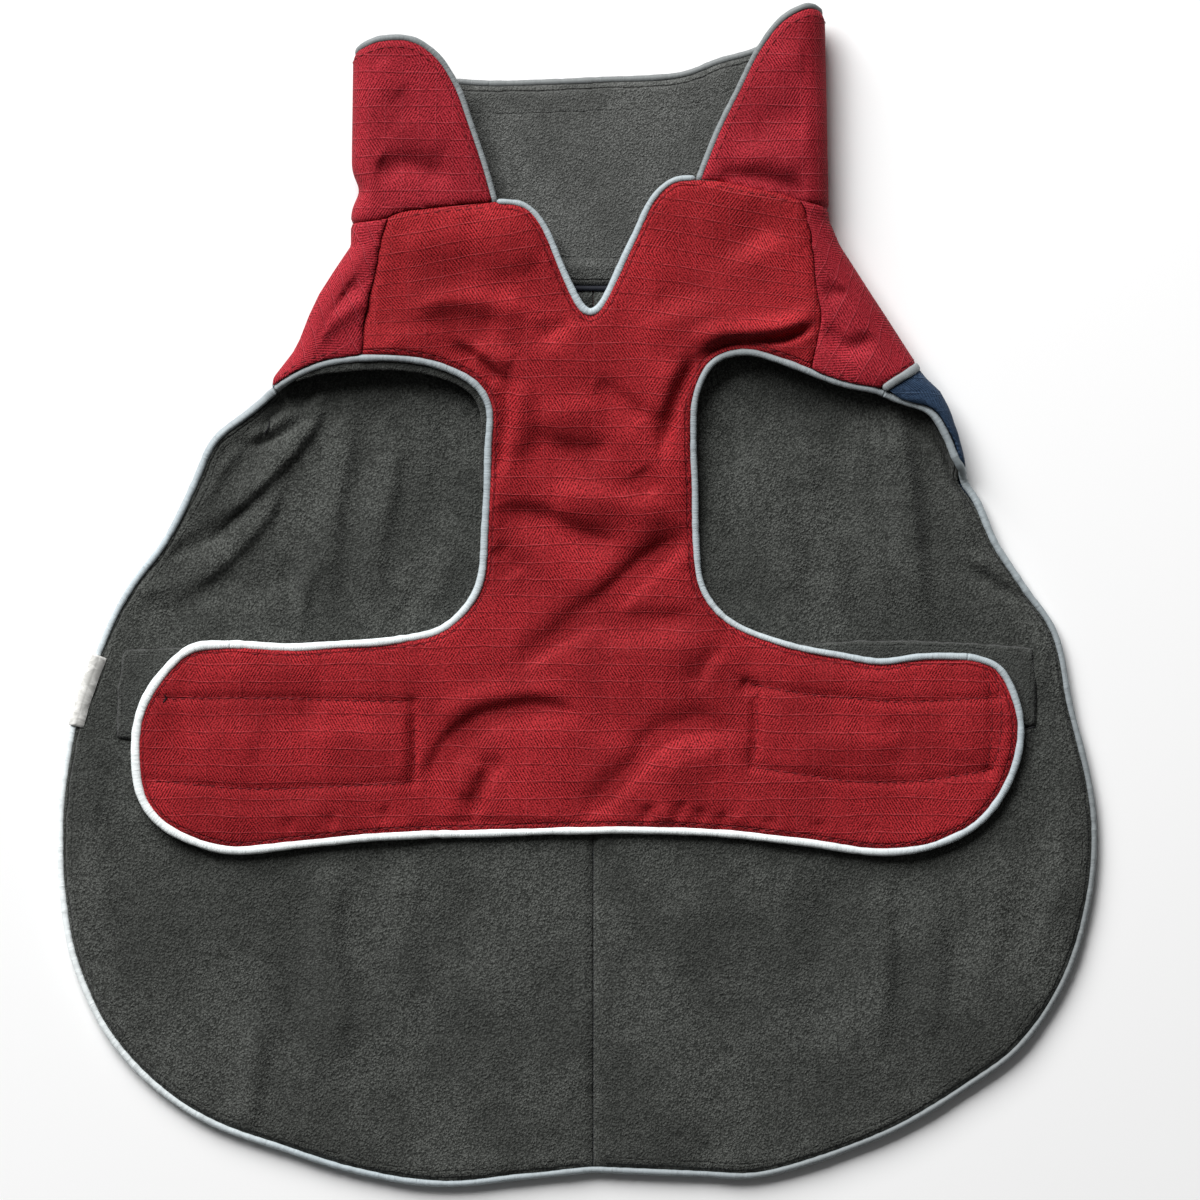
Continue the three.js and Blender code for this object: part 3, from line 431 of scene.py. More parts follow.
# Row of stitches: short grains laid end to end along a path, thickest in the middle and sunk at
# both ends, where the thread goes through the cloth
def stitches(name, rows, material, slot, length=2.5, gap=0.9, wide=0.42, high=0.26):
    turn = np.arange(6) / 6 * 2 * np.pi
    u = np.linspace(-1, 1, 7)
    thick = np.sqrt(np.clip(1 - u ** 2, 0.06, 1))
    lift = np.repeat(high * (0.42 - 0.55 * u ** 2), 6)
    grain = np.stack([np.repeat(u * length / 2, 6), (thick[:, None] * np.cos(turn)).ravel() * wide / 2,
                      (thick[:, None] * np.sin(turn)).ravel() * high / 2 + lift], axis=1)
    faces = tubeFaces(7, 6, np.array([[0, 1, 2, 3], [0, 3, 4, 5]]))
    points = []
    for path, normal in rows:
        lengths = lengthsOf(path)
        at = np.arange(length, lengths[-1] - length, length + gap)
        place = rowsAt(at, lengths, path)
        ahead = rowsAt(at + 1, lengths, path)
        up = rowsAt(at, lengths, normal)
        along = unit(ahead - place)
        across = unit(np.cross(up, along))
        up = np.cross(along, across)
        points.append(place[:, None] + along[:, None] * grain[None, :, :1] + across[:, None] * grain[None, :, 1:2]
                      + up[:, None] * grain[None, :, 2:])
    points = np.concatenate(points)
    allFaces = (faces[None] + np.arange(len(points))[:, None, None] * 42).reshape(-1, 4)
    uv = np.tile(grain[:, :2], (len(points), 1))
    return meshPiece(name, points.reshape(-1, 3), allFaces, [material], slot, uv)


# Looks. A number or colour that a material works out: +, -, * and / become Math nodes
class Value:
    def __init__(self, tree, socket):
        self.tree, self.socket = tree, socket

    def math(self, operation, *others):
        return makeNode(self.tree, "Math", 0, dict(enumerate((self, *others))), operation=operation)

    def __add__(self, other):
        return self.math("ADD", other)

    def __sub__(self, other):
        return self.math("SUBTRACT", other)

    def __mul__(self, other):
        return self.math("MULTIPLY", other)

    def __truediv__(self, other):
        return self.math("DIVIDE", other)


# Sets a socket to a number, a list or a colour, or joins it to a value
def setSocket(socket, value):
    if isinstance(value, Value):
        value.tree.links.new(value.socket, socket)
    else:
        socket.default_value = (*value, 1.0) if isinstance(value, tuple) else value


# The output of a new node, its inputs and settings given by name
def makeNode(tree, kind, output, inputs, **settings):
    made = tree.nodes.new("ShaderNode" + kind)
    for name, value in settings.items():
        setattr(made, name, value)
    for name, value in inputs.items():
        setSocket(made.inputs[name], value)
    return Value(tree, made.outputs[output])


# New material with these settings of its shader
def newLook(name, roughness, sheen=0.0, sheenRoughness=0.5, specular=0.3):
    material = bpy.data.materials.new(name)
    material.use_nodes = True
    shader = material.node_tree.nodes["Principled BSDF"]
    for socket, value in (("Roughness", roughness), ("Sheen Weight", sheen),
                          ("Sheen Roughness", sheenRoughness), ("Specular IOR Level", specular)):
        shader.inputs[socket].default_value = value
    return material, material.node_tree, shader


# Joins the colour to the shader, and a bump as high as distance, in metres, where height is 1
def paint(shader, colour, height, distance, strength=1.0):
    setSocket(shader.inputs["Base Color"], colour)
    setSocket(shader.inputs["Normal"], makeNode(height.tree, "Bump", "Normal", {
        "Height": height, "Distance": distance, "Strength": strength}))


# 0 to 1 as value goes from low to high, softly
def ramp(value, low, high, toLow=0.0, toHigh=1.0):
    return makeNode(value.tree, "MapRange", "Result", {
        "Value": value, "From Min": low, "From Max": high, "To Min": toLow, "To Max": toHigh},
        interpolation_type="SMOOTHSTEP")


# Soft noise at a place, scale times as fine
def noise(place, scale, detail=2.0, roughness=0.5, distortion=0.0, output="Fac"):
    return makeNode(place.tree, "TexNoise", output, {
        "Vector": place, "Scale": scale, "Detail": detail, "Roughness": roughness, "Distortion": distortion})


# The first colour where factor is 0, the second where it is 1
def mixColour(factor, first, second):
    return makeNode(factor.tree, "Mix", 2, {0: factor, 6: first, 7: second}, data_type="RGBA")


# Pattern coordinates of the piece in millimetres, stretched both ways
def patternPlace(tree, across=1.0, down=1.0):
    uv = makeNode(tree, "UVMap", "UV", {}, uv_map="cut")
    return makeNode(tree, "Mapping", "Vector", {"Vector": uv, "Scale": [1000 * across, 1000 * down, 1000]})


# A number kept on the piece, such as the distance from its edge in millimetres
def markOf(tree, name):
    return makeNode(tree, "Attribute", "Fac", {}, attribute_name=name)


# 1 at a place of value and 0 a width away from it, softly
def lineAt(value, place, width):
    return ramp((value - place).math("ABSOLUTE"), width, 0.0)


# A colour times a share
def darker(colour, share):
    return tuple(share * part for part in colour)


# Ripstop: strong threads every 5.4 mm both ways over a fine weave whose twill turns from place
# to place, light threads with a dark line beside them
ripstopLook = dict(square=5.4, threadWidth=0.17, twill=0.98, lean=0.62, turnSize=0.045, contrast=0.5, grain=2.0)


def ripstop(name, gap, top, line, tint):
    material, tree, shader = newLook(name, 0.7, sheen=0.03, sheenRoughness=0.4, specular=0.08)
    shader.inputs["Sheen Tint"].default_value = (*tint, 1)
    place = patternPlace(tree)
    u, v = [makeNode(tree, "SeparateXYZ", k, {0: place}) for k in (0, 1)]
    v = v + (noise(place, 0.04) - 0.5) * 2.6
    width, square = ripstopLook["threadWidth"], ripstopLook["square"]

    # distance to the nearest strong thread, moved by offset
    def thread(coordinate, offset):
        part = (coordinate / square + (0.5 + offset / square)).math("FRACT")
        return (part - 0.5).math("ABSOLUTE") * square

    lightAcross = ramp(thread(v, 0.0), width, 0.02)
    darkAcross = ramp(thread(v, 0.38), width * 1.3, 0.03)
    lightDown = ramp(thread(u, 0.0), width * 1.2, 0.02)
    turn = 2 * np.pi / ripstopLook["twill"]
    leaning, upright = v * (turn * ripstopLook["lean"]), u * turn
    side = ramp(noise(place, ripstopLook["turnSize"], 0.0), 0.47, 0.53)
    twill = (upright - leaning).math("SINE") * side + (upright + leaning).math("SINE") * (side * -1.0 + 1.0)
    fine = noise(patternPlace(tree, 1.0, 1.3), 1.6, 1.0, 0.6)
    patchy = ramp(noise(place, 0.11), 0.3, 0.7, 0.35, 1.0)
    knots = ramp(noise(place, 1.9, 0.0), 0.35, 0.6, 0.35, 1.25)
    weave = twill * knots * patchy * ripstopLook["contrast"]
    colour = mixColour(weave + 0.5 + (fine - 0.5) * ripstopLook["grain"], gap, top)
    colour = mixColour(ramp(noise(place, 0.035), 0.35, 0.65, 0.0, 0.30), colour, gap)
    broken = ramp(noise(patternPlace(tree, 0.22, 1.4), 1.0, 1.0), 0.36, 0.62, 0.10, 0.62)
    colour = mixColour(darkAcross * (broken + 0.15), colour, gap)
    colour = mixColour(lightAcross * broken, colour, line)
    dotted = ramp(noise(patternPlace(tree, 0.05, 1.2), 1.0, 1.0), 0.44, 0.6, 0.06, 0.34)
    colour = mixColour(lightDown * dotted, colour, line)
    # Along the sewn lines the bump sinks into a groove and the colour is darkened towards the gaps: painted shade in
    # the groove
    sewnGrooveAndPaintedShade = lineAt(markOf(tree, "edge"), 1.55, 0.5).math("MAXIMUM", lineAt(markOf(tree, "seam"), 0.0, 0.6))
    height = (weave + fine) * 0.5 + (lightAcross + lightDown) * 0.4
    paint(shader, mixColour(sewnGrooveAndPaintedShade * 0.2, colour, gap), height - sewnGrooveAndPaintedShade * 1.6, 0.00022, 0.9)
    return material


# Fleece: short curled pile, pebbly, with dark gaps between the curls; pressed lines run along
# the edge where the hem seam is sewn, sunk in the bump and darkened with painted shade
def fleece(name, dark, light, curls, pressed=(1.0, 3.0)):
    material, tree, shader = newLook(name, 0.95, sheen=0.12, sheenRoughness=0.6, specular=0.08)
    place = patternPlace(tree, 1.0, 0.8)
    bent = makeNode(tree, "VectorMath", 0, {0: noise(place, 0.7, output="Color"), 1: [0.9, 0.9, 0.0], 2: place},
                    operation="MULTIPLY_ADD")
    pebble = ramp(makeNode(tree, "TexVoronoi", "Distance", {"Vector": bent, "Scale": curls}), 0.78, 0.12)
    pile = noise(place, curls, 2.0, 0.6, 0.7) * 0.6 + noise(place, 0.33, 2.0, 0.5, 0.4) * 0.2 + pebble * 0.2
    colour = mixColour(ramp(pile, 0.28, 0.68), dark, light)
    colour = mixColour(ramp(noise(place, 0.03, 3.0, 0.6), 0.38, 0.62, 0.0, 0.45), colour, dark)
    broken = ramp(noise(place, 0.3), 0.35, 0.6, 0.1, 1.0)
    edge = markOf(tree, "edge") + (noise(place, 0.22) - 0.5) * 1.2
    pressedGrooveAndPaintedShade = (lineAt(edge, pressed[0], 0.5) * 0.8).math("MAXIMUM", lineAt(edge, pressed[1], 0.45) * broken * 0.45)
    paint(shader, mixColour(pressedGrooveAndPaintedShade * 0.7, colour, darker(dark, 0.35)), pile - pressedGrooveAndPaintedShade * 0.5, 0.0013)
    return material


# Reflective tape: grey to nearly white by the painted reflection kept on each place, fine ribs across the cord
def reflective(name, dull, middle, bright):
    material, tree, shader = newLook(name, 0.5, specular=0.25)
    ribs = noise(patternPlace(tree, 1.1, 0.2), 1.0, 2.0, 0.6)
    stain = noise(patternPlace(tree), 0.12, 3.0)
    gleam = markOf(tree, "gleam")
    colour = mixColour(ramp(gleam, 0.0, 0.45), dull, middle)
    colour = mixColour(ramp(gleam, 0.4, 1.0), colour, bright)
    colour = mixColour(ramp(stain, 0.5, 0.75, 0.0, 0.22), colour, dull)
    paint(shader, mixColour(ramp(ribs, 0.60, 0.74, 0.0, 0.3), colour, darker(dull, 0.6)), ribs, 0.0004, 0.6)
    return material


# Thread or plain tape: one colour with the twist of the thread
def plainThread(name, colour, roughness=0.7):
    material, tree, shader = newLook(name, roughness)
    twist = noise(patternPlace(tree, 2.4, 1.0), 1.6, 1.0)
    paint(shader, mixColour(ramp(twist, 0.35, 0.65), darker(colour, 0.6), colour), twist, 0.0001, 0.5)
    return material


# Satin tape: fine cross weave with diagonal creases in the bump, with painted highlight on their ridges and painted
# shade between them
def satin(name, ground, light):
    material, tree, shader = newLook(name, 0.38, sheen=0.1, specular=0.5)
    weave = noise(patternPlace(tree, 3.2, 0.4), 1.0, 1.0)
    creases = noise(patternPlace(tree, 0.28, 0.16), 1.0, 2.0, 0.6, 0.8)
    colour = mixColour(ramp(creases, 0.42, 0.62), ground, light)
    paint(shader, mixColour(ramp(weave, 0.4, 0.7, 0.0, 0.2), colour, darker(ground, 0.7)), creases, 0.0006, 0.6)
    return material


# Cloths and threads; a ripstop has the colours of its gaps, tops and strong threads and the tint
# of its sheen
redCloth = ripstop("redRipstop", (0.060, 0.0006, 0.0012), (0.540, 0.033, 0.042), (0.60, 0.078, 0.092),
                   (1.0, 0.3, 0.3))
# A lighter copy of the same red ripstop for the yoke and the collar's shell: painted light
redWithPaintedLight = ripstop("redRipstopPaintedLight", (0.078, 0.0012, 0.0030), (0.650, 0.046, 0.068), (0.70, 0.105, 0.135),
                   (1.0, 0.35, 0.4))
navyCloth = ripstop("navyRipstop", (0.008, 0.017, 0.036), (0.055, 0.096, 0.170), (0.12, 0.18, 0.28),
                    (0.6, 0.75, 1.0))
greyFleece = fleece("greyFleece", (0.021, 0.023, 0.020), (0.121, 0.127, 0.117), curls=1.6)
# The patch fleece's pressed line lies at its very edge: painted shade along the patch's border
patchFleece = fleece("patchFleece", (0.028, 0.030, 0.027), (0.108, 0.114, 0.105), curls=1.8, pressed=(0.2, 1.8))
collarFleece = fleece("collarFleece", (0.050, 0.052, 0.048), (0.182, 0.187, 0.178), curls=1.9, pressed=(1.9, 9.0))
# Reflective piping: grey, then bluish, then nearly white where its painted reflection is strongest
pipingTape = reflective("reflectivePiping", (0.180, 0.192, 0.193), (0.44, 0.50, 0.53), (0.90, 0.95, 0.95))
redThread = plainThread("redThread", (0.20, 0.008, 0.014))
blackThread = plainThread("blackThread", (0.006, 0.006, 0.008))
darkTape = plainThread("darkTape", (0.008, 0.010, 0.018))
hookTape = plainThread("hookTape", (0.012, 0.012, 0.013), 0.9)
# The satin's second colour is the painted highlight on its creases
satinTape = satin("satinTape", (0.54, 0.535, 0.51), (0.80, 0.79, 0.76))
print("looks made")

# Outline rows from x and y in turn, in millimetres, on the coat's upper side or under it; each
# outline is the middle line of the piping or of the seam
def upperRows(*places):
    return [(x, y, 1) for x, y in zip(places[::2], places[1::2])]


def underRows(*places):
    return [(x, y, 0) for x, y in zip(places[::2], places[1::2])]


collarEdge = [
    *upperRows(-26.2, 124.8, -30, 138, -34.5, 151.5, -39, 163.5, -45, 172.5, -53, 177.5, -63, 177.5,
        -69, 175.5),
    *underRows(-70, 171.5, -55, 166.5, -39, 164.5, -21.5, 164, 7, 165, 33, 166.5, 45.5, 171, 57, 174.5,
        68, 180.5, 78, 184.5),
    *upperRows(76, 188, 72, 187.5, 65, 183.5, 57.5, 174, 51.5, 162, 44.5, 147.5, 38.4, 131.8)]
neckSeam = [
    *upperRows(-26, 126, -37.5, 125, -47, 124, -57, 122.5, -61.5, 120.5),
    *underRows(-71.5, 118, -57, 111.5, -34.5, 102.5, -12, 99, 5, 98.5, 23, 99, 45.5, 105, 68, 115.5, 79.5, 122),
    *upperRows(71, 126.5, 65, 128.5, 55, 130.5, 45.5, 132.5, 39, 133)]
neckline = [(-25.5, 126), (-17, 125), (-11.5, 119.5), (-5.5, 106), (-1.6, 97.5), (0.9, 92.7), (4.2, 90.1), (7.6, 93),
            (11.9, 101), (18, 114.5), (24.5, 127.5), (31, 133), (38.5, 133.5)]
leftShoulder = upperRows(-60.5, 121, -61.7, 117, -62.8, 112.5, -64, 106, -65.4, 100, -67, 92, -68.6, 84, -70, 76)
rightShoulder = upperRows(71, 126.5, 73.2, 121.5, 74.6, 116, 75.2, 110, 75.8, 103, 76.6, 97, 77.8, 90,
    77.2, 84, 75.8, 78, 74.5, 71.5)
yokeSeam = [
    *underRows(-98.2, 66.5, -79, 65.5, -41, 63.5, 5, 63.5, 52, 65.5, 90.5, 70, 109.5, 73.5),
    *upperRows(103, 69.5, 97, 65.5)]
leftYokeEdge = upperRows(-98.2, 66.5, -93.5, 69, -82.5, 74, -70, 76)
rightYokeEdge = upperRows(74.5, 71.5, 85.5, 67.5, 97, 65.5)
leftLegEdge = [(-70, 76), (-57, 76), (-44, 73.5), (-33, 68), (-28.5, 61), (-28.5, 46.5), (-29.5, 24.5), (-31, 5),
               (-35, -3), (-44, -11), (-57, -14), (-74.5, -15.5), (-92, -16.5), (-111, -15.5)]
bandEdge = [(-111, -15.5), (-124, -17), (-133.5, -26), (-139.5, -36.5), (-141.5, -49.5), (-139.5, -64.5), (-133, -73),
            (-121, -79), (-109.5, -81.5), (-89, -79.5), (-63, -77), (-31, -76), (7, -75), (39, -75.5), (71, -78.5),
            (97, -82), (113, -80), (127, -73.5), (136.5, -62.5), (141.5, -47.5), (141, -36), (135, -23),
            (125.5, -19.5)]
rightLegEdge = [(125.5, -19.5), (109.5, -19.5), (97, -21), (84, -19), (65, -15), (47, -7), (40, 2.5), (38, 18),
                (37.5, 37), (37, 50), (38, 64.5), (43.5, 75), (53.5, 78), (65, 75), (74.5, 71.5)]
hemLeft = underRows(-98.2, 66.5, -107.2, 58, -116.5, 50.2, -122.8, 36.5, -132.4, 17.3, -143.9, 1.3, -152.8, -18,
    -161.2, -43.2, -165.2, -75, -164.2, -97.3, -159.8, -119, -150, -139.7, -136.2, -155.5, -117, -168.3,
    -94.6, -176.2, -69.2, -184.2, -44, -187.7, -18.6, -185.7, 5, -183.2)
hemRight = [
    *upperRows(97, 65.5, 105, 62, 113, 60, 116.5, 57, 119, 53, 121.5, 48.5, 123.2, 43.5),
    *underRows(123.5, 38.2, 128, 31.2, 133.8, 17.5, 143.9, 1.3, 152.3, -11.9, 157.7, -36.7, 163.2, -59.3,
        165.2, -78, 162.8, -100.1, 154.9, -123.9, 140.6, -144.6, 121.8, -158.4, 102.4, -169.8, 77.1, -179.8,
        56.8, -185.2, 39, -184.7, 5, -183.2)]

seams = dict(step=1.5, besidePiping=0.95, atHem=0.4, atCollar=0.6, besideStrip=0.9, half=0.1, overrun=3,
             edgeDepth=1.925, underNeck=0.75)
half, cordIn, stripIn, deep = seams["half"], seams["besidePiping"], seams["besideStrip"], seams["edgeDepth"]
hemIn, neckIn = seams["atHem"], seams["underNeck"]
flat = {name: trace(unroll(rows), seams["step"]) for name, rows in dict(
    neck=neckSeam, collar=collarEdge, yoke=yokeSeam, hemLeft=hemLeft, hemRight=hemRight, leftYoke=leftYokeEdge,
    rightYoke=rightYokeEdge, leftShoulder=leftShoulder, rightShoulder=rightShoulder).items()}
# The yoke's seam climbs a little where it comes out at the left corner
flat["yoke"][:, 1] += 1.9 * np.exp(-((flat["yoke"][:, 0] + 100.8) / 7) ** 2)
centre = evenSteps(np.array([[5.0, -187.0], [5.0, 101.5]]), seams["step"])
leftEnd, rightEnd = flat["leftShoulder"][0], flat["rightShoulder"][0]
middleNeck = np.array([5.0, 98.5])
neckYoke = between(flat["neck"], leftEnd, rightEnd)
neckLeft = carriedOn(between(flat["neck"], leftEnd, middleNeck)[::-1], seams["overrun"])[::-1]
neckRight = carriedOn(between(flat["neck"], middleNeck, rightEnd), seams["overrun"])
leftYokeLong = carriedOn(flat["leftYoke"][::-1], seams["overrun"])[::-1]
rightYokeLong = carriedOn(flat["rightYoke"], seams["overrun"])


# How much a face is drawn in at its edges: exp(-(distance from the edge / width) squared)
def drawnIn(edge, width=1.1):
    return np.exp(-(edge / width) ** 2)


# Panel of rolled cloth: both faces are the outer face moved in by a depth, the edges drawn in
# to the middle, and the relief moves both faces; the sewn lines of its look, grooves darkened with
# painted shade, follow the edges that keepEdge keeps
def rolledPanel(name, node, look, loop, material, slot, restsOn=(), relief=None, pattern=None,
                keepEdge=lambda x, y: y > -999):
    points, quads, edge = gridIn(loop, look["grid"])
    x, y = points.T
    lift = 0.0 if relief is None else relief(x, y, edge)
    pinch = drawnIn(edge, look["roundOff"])
    low, high = look["low"] + look["lowIn"] * pinch, look["high"] - look["highIn"] * pinch
    lowFace, highFace = rolled(x, y, low + lift), rolled(x, y, high + lift)
    uv = points if pattern is None else pattern(x, y)
    piece = clothWall(name, quads, lowFace, highFace, uv, [material], slot,
                      edge=np.where(keepEdge(x, y), edge, 9.0))
    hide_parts(node)
    declareSheet(piece, uv, quads, lowFace, highFace, restsOn)


# Back panel: navy shell on the floor
shellLook = dict(grid=2.0, low=0.0, high=1.2, lowIn=0.25, highIn=0.2, roundOff=1.2)
shellLoop = joined(
    shifted(carriedOn(flat["yoke"], seams["overrun"]), -stripIn, 0),
    shifted(flat["hemRight"], -hemIn, 1.2),
    shifted(carriedOn(flat["hemLeft"], seams["overrun"])[::-1], -hemIn, 1.2))
rolledPanel("backShell", "back_shell", shellLook, shellLoop, navyCloth, "navy_ripstop")

# Fleece lining in two halves
liningCreases = [
    (2.1, (0.9, 7.0), 322, 380, 318, 418, 301, 444, 272, 476, 232, 512, 196, 544),
    (1.5, (1.0, 6.0), 280, 474, 274, 506, 252, 536, 222, 566, 190, 590),
    (-1.4, 1.1, 313, 415, 295, 424, 277, 436, 247, 446), (-1.2, 1.1, 319, 386, 300, 404, 277, 412, 264, 424),
    (1.0, 1.6, 298, 400, 272, 424, 240, 436), (-0.9, 0.8, 268, 416, 258, 436),
    (0.9, 2.6, 240, 440, 214, 470, 196, 506), (-1.0, 2.4, 150, 560, 196, 540, 250, 500),
    (-0.7, 3.0, 176, 620, 200, 596, 240, 570), (1.5, (2.2, 5.0), 350, 410, 344, 470, 334, 520, 330, 600),
    (0.9, (1.6, 3.6), 318, 560, 304, 596, 300, 640), (-0.8, 2.0, 288, 570, 292, 610, 296, 640),
    (1.3, (2.2, 5.0), 398, 430, 392, 480, 380, 540, 376, 600), (-0.6, 3.0, 440, 410, 446, 450, 440, 500),
    (0.7, 3.6, 452, 520, 446, 570, 430, 610), (-0.6, 1.8, 420, 590, 404, 610, 396, 628),
    (-0.6, 3.2, 226, 600, 262, 588, 300, 560),
    (3.0, (2.8, 8.0), 884, 402, 896, 430, 904, 462, 910, 500, 915, 560, 926, 616),
    (1.6, (1.6, 4.0), 916, 416, 934, 444, 950, 480, 966, 516, 984, 552),
    (-1.3, 1.0, 902, 410, 926, 434, 948, 458, 962, 492), (1.2, 1.6, 912, 404, 938, 422, 956, 452),
    (-1.5, 1.7, 962, 562, 1003, 588, 1038, 603, 1060, 626), (1.0, 2.6, 968, 556, 1010, 578, 1044, 594),
    (0.9, (1.8, 3.4), 1040, 604, 1046, 640, 1042, 690), (1.3, (2.4, 5.5), 760, 420, 768, 470, 790, 530, 800, 600),
    (1.2, (2.4, 5.5), 806, 440, 812, 500, 836, 560, 846, 620), (-0.7, 3.0, 730, 420, 728, 480, 738, 560),
    (1.0, (2.2, 4.4), 858, 430, 864, 500, 880, 570, 886, 616), (-0.5, 3.0, 720, 588, 760, 600, 800, 622),
    (-0.6, 2.6, 776, 398, 800, 412, 826, 410), (1.3, (2.6, 6.0), 340, 850, 332, 930, 342, 1010, 338, 1060),
    (1.3, (2.4, 5.0), 262, 1020, 254, 1080, 244, 1150), (-0.8, 4.5, 300, 880, 296, 980, 290, 1080),
    (0.8, (3.0, 6.0), 416, 850, 408, 930, 414, 1000), (0.7, (3.0, 6.0), 150, 900, 176, 980, 214, 1060),
    (1.2, (2.6, 6.0), 882, 870, 886, 960, 878, 1050), (1.1, (2.4, 5.0), 930, 890, 938, 960, 930, 1040),
    (-0.7, 4.5, 824, 870, 818, 960, 822, 1060), (0.7, (3.0, 6.0), 1000, 860, 996, 930, 976, 1000),
    (0.8, 3.4, 88, 760, 96, 860, 116, 950), (0.8, 3.4, 1066, 780, 1058, 880, 1034, 970),
    (0.5, 8.0, 480, 880, 486, 1000, 480, 1120), (0.6, 8.0, 690, 870, 684, 990, 690, 1110),
    (0.8, 3.0, 120, 600, 150, 588, 180, 590), (-0.5, 3.0, 108, 748, 120, 790, 140, 820)]


# Relief of the lining: its creases and a shallow unevenness
def liningRelief(x, y, edge):
    face = outerFace(x, y)
    under = face[:, 2] < 3
    rise = 1.45 * creaseHeight(face[:, 0], face[:, 1], liningCreases, (1.2, 1.2)) * under * smooth(0.4, 5.0, edge)
    return rise + 0.3 * unevenness(face[:, 0], face[:, 1], 38, 11) + 0.08 * unevenness(face[:, 0], face[:, 1], 10, 12)


liningLook = dict(grid=1.25, low=1.85, high=3.85, lowIn=0.3, highIn=1.1, roundOff=1.15)
leftLoop = joined(
    shifted(neckLeft, -neckIn, 3.85), shifted(centre[::-1], -half),
    shifted(carriedOn(flat["hemLeft"][::-1], seams["overrun"]), -hemIn, 3.85),
    shifted(leftYokeLong, -cordIn, 3.85), shifted(flat["leftShoulder"][::-1], -cordIn, 3.85))
rightLoop = joined(
    shifted(neckRight, -neckIn, 3.85), shifted(flat["rightShoulder"], -cordIn, 3.85),
    shifted(rightYokeLong, -cordIn, 3.85),
    shifted(carriedOn(flat["hemRight"][::-1], seams["overrun"])[::-1], -hemIn, 3.85), shifted(centre, -half))
for side, loop in (("left", leftLoop), ("right", rightLoop)):
    rolledPanel("backLining" + side.title(), "back_lining_" + side, liningLook, loop, greyFleece, "grey_fleece",
                "back_shell", liningRelief, keepEdge=lambda x, y: (abs(x - 5) > 4) & (y < 66))


yokeTurn = dict(left=248.4, right=269.0)


# Flat place of the yoke's cloth: d is how far out a place lies across the slanting fold; under
# the coat the cloth runs by d, on top by the whole turn less d, and along the fold it stays
def yokePattern(x, y):
    face = outerFace(x, y)[:, :2]
    side, start, radius = bendOf(x, y)
    fold = np.stack([-side * 0.51, np.full_like(x, 0.86)], axis=1)
    out = np.stack([side * 0.86, np.full_like(x, 0.51)], axis=1)
    turned = np.clip((x - start) * side / radius, 0, np.pi) / np.pi
    along, d = (face * fold).sum(1), (face * out).sum(1)
    across = d + (np.where(side < 0, yokeTurn["left"], yokeTurn["right"]) - 2 * d) * turned
    return along[:, None] * fold + across[:, None] * out


# Yoke, the collar's shell and lining, and the neck tape
yokeLook = dict(grid=1.0, low=0.0, high=1.2, lowIn=0.45, highIn=0.3, roundOff=0.7)
yokeLoop = joined(
    shifted(neckYoke, -half, 0), shifted(flat["rightShoulder"], -half, 0), shifted(rightYokeLong, -cordIn, 1.2),
    shifted(flat["yoke"][::-1], -stripIn, 0), shifted(leftYokeLong, -cordIn, 1.2),
    shifted(flat["leftShoulder"][::-1], -half, 0))
rolledPanel("yokePanel", "yoke", yokeLook, yokeLoop, redWithPaintedLight, "red_ripstop",
            ("back_lining_left", "back_lining_right"), pattern=yokePattern, keepEdge=lambda x, y: y < -999)

collarLook = dict(grid=1.2, low=0.0, high=1.2, lowIn=0.7, highIn=0.1, roundOff=1.0)
collarLoop = joined(shifted(flat["collar"], -seams["atCollar"], 1.2), shifted(flat["neck"][::-1], -half, 0))
rolledPanel("collarShell", "collar_shell", collarLook, collarLoop, redWithPaintedLight, "red_ripstop")

collarLiningLook = dict(grid=1.2, low=1.85, high=3.85, lowIn=0.3, highIn=1.0, roundOff=1.1)
collarCreases = [
    (0.7, 1.6, 545, 264, 590, 267, 634, 263), (-0.5, 1.2, 560, 286, 592, 288, 624, 286),
    (0.3, 9, 500, 120, 560, 150, 640, 150), (-0.4, 4, 470, 100, 480, 130, 500, 170),
    (-0.4, 4, 700, 84, 706, 120, 700, 150)]


# Relief of the collar's lining: its creases, a shallow unevenness and the pressed hem line
def collarRelief(x, y, edge):
    face = outerFace(x, y)
    rise = creaseHeight(face[:, 0], face[:, 1], collarCreases) * (face[:, 2] < 3)
    return rise + 0.10 * unevenness(x, y, 26, 21) - 0.3 * np.exp(-((edge - 1.9) / 0.5) ** 2)


collarLiningLoop = joined(
    shifted(flat["collar"], -seams["atCollar"], 3.85), shifted(flat["neck"][::-1], -neckIn, 3.85))
rolledPanel("collarLining", "collar_lining", collarLiningLook, collarLiningLoop, collarFleece, "grey_fleece",
            "collar_shell", collarRelief)

tapePath = cutEnds(neckYoke, 6, 6)
place, inward = rolledWithNormal(*tapePath.T, 2.6)
neckTape = bead("neckTape", place, inward, darkTape, "dark_tape", side=0.9, up=0.6, sides=8)
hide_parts("neck_tape")
print("back, yoke and collar made")

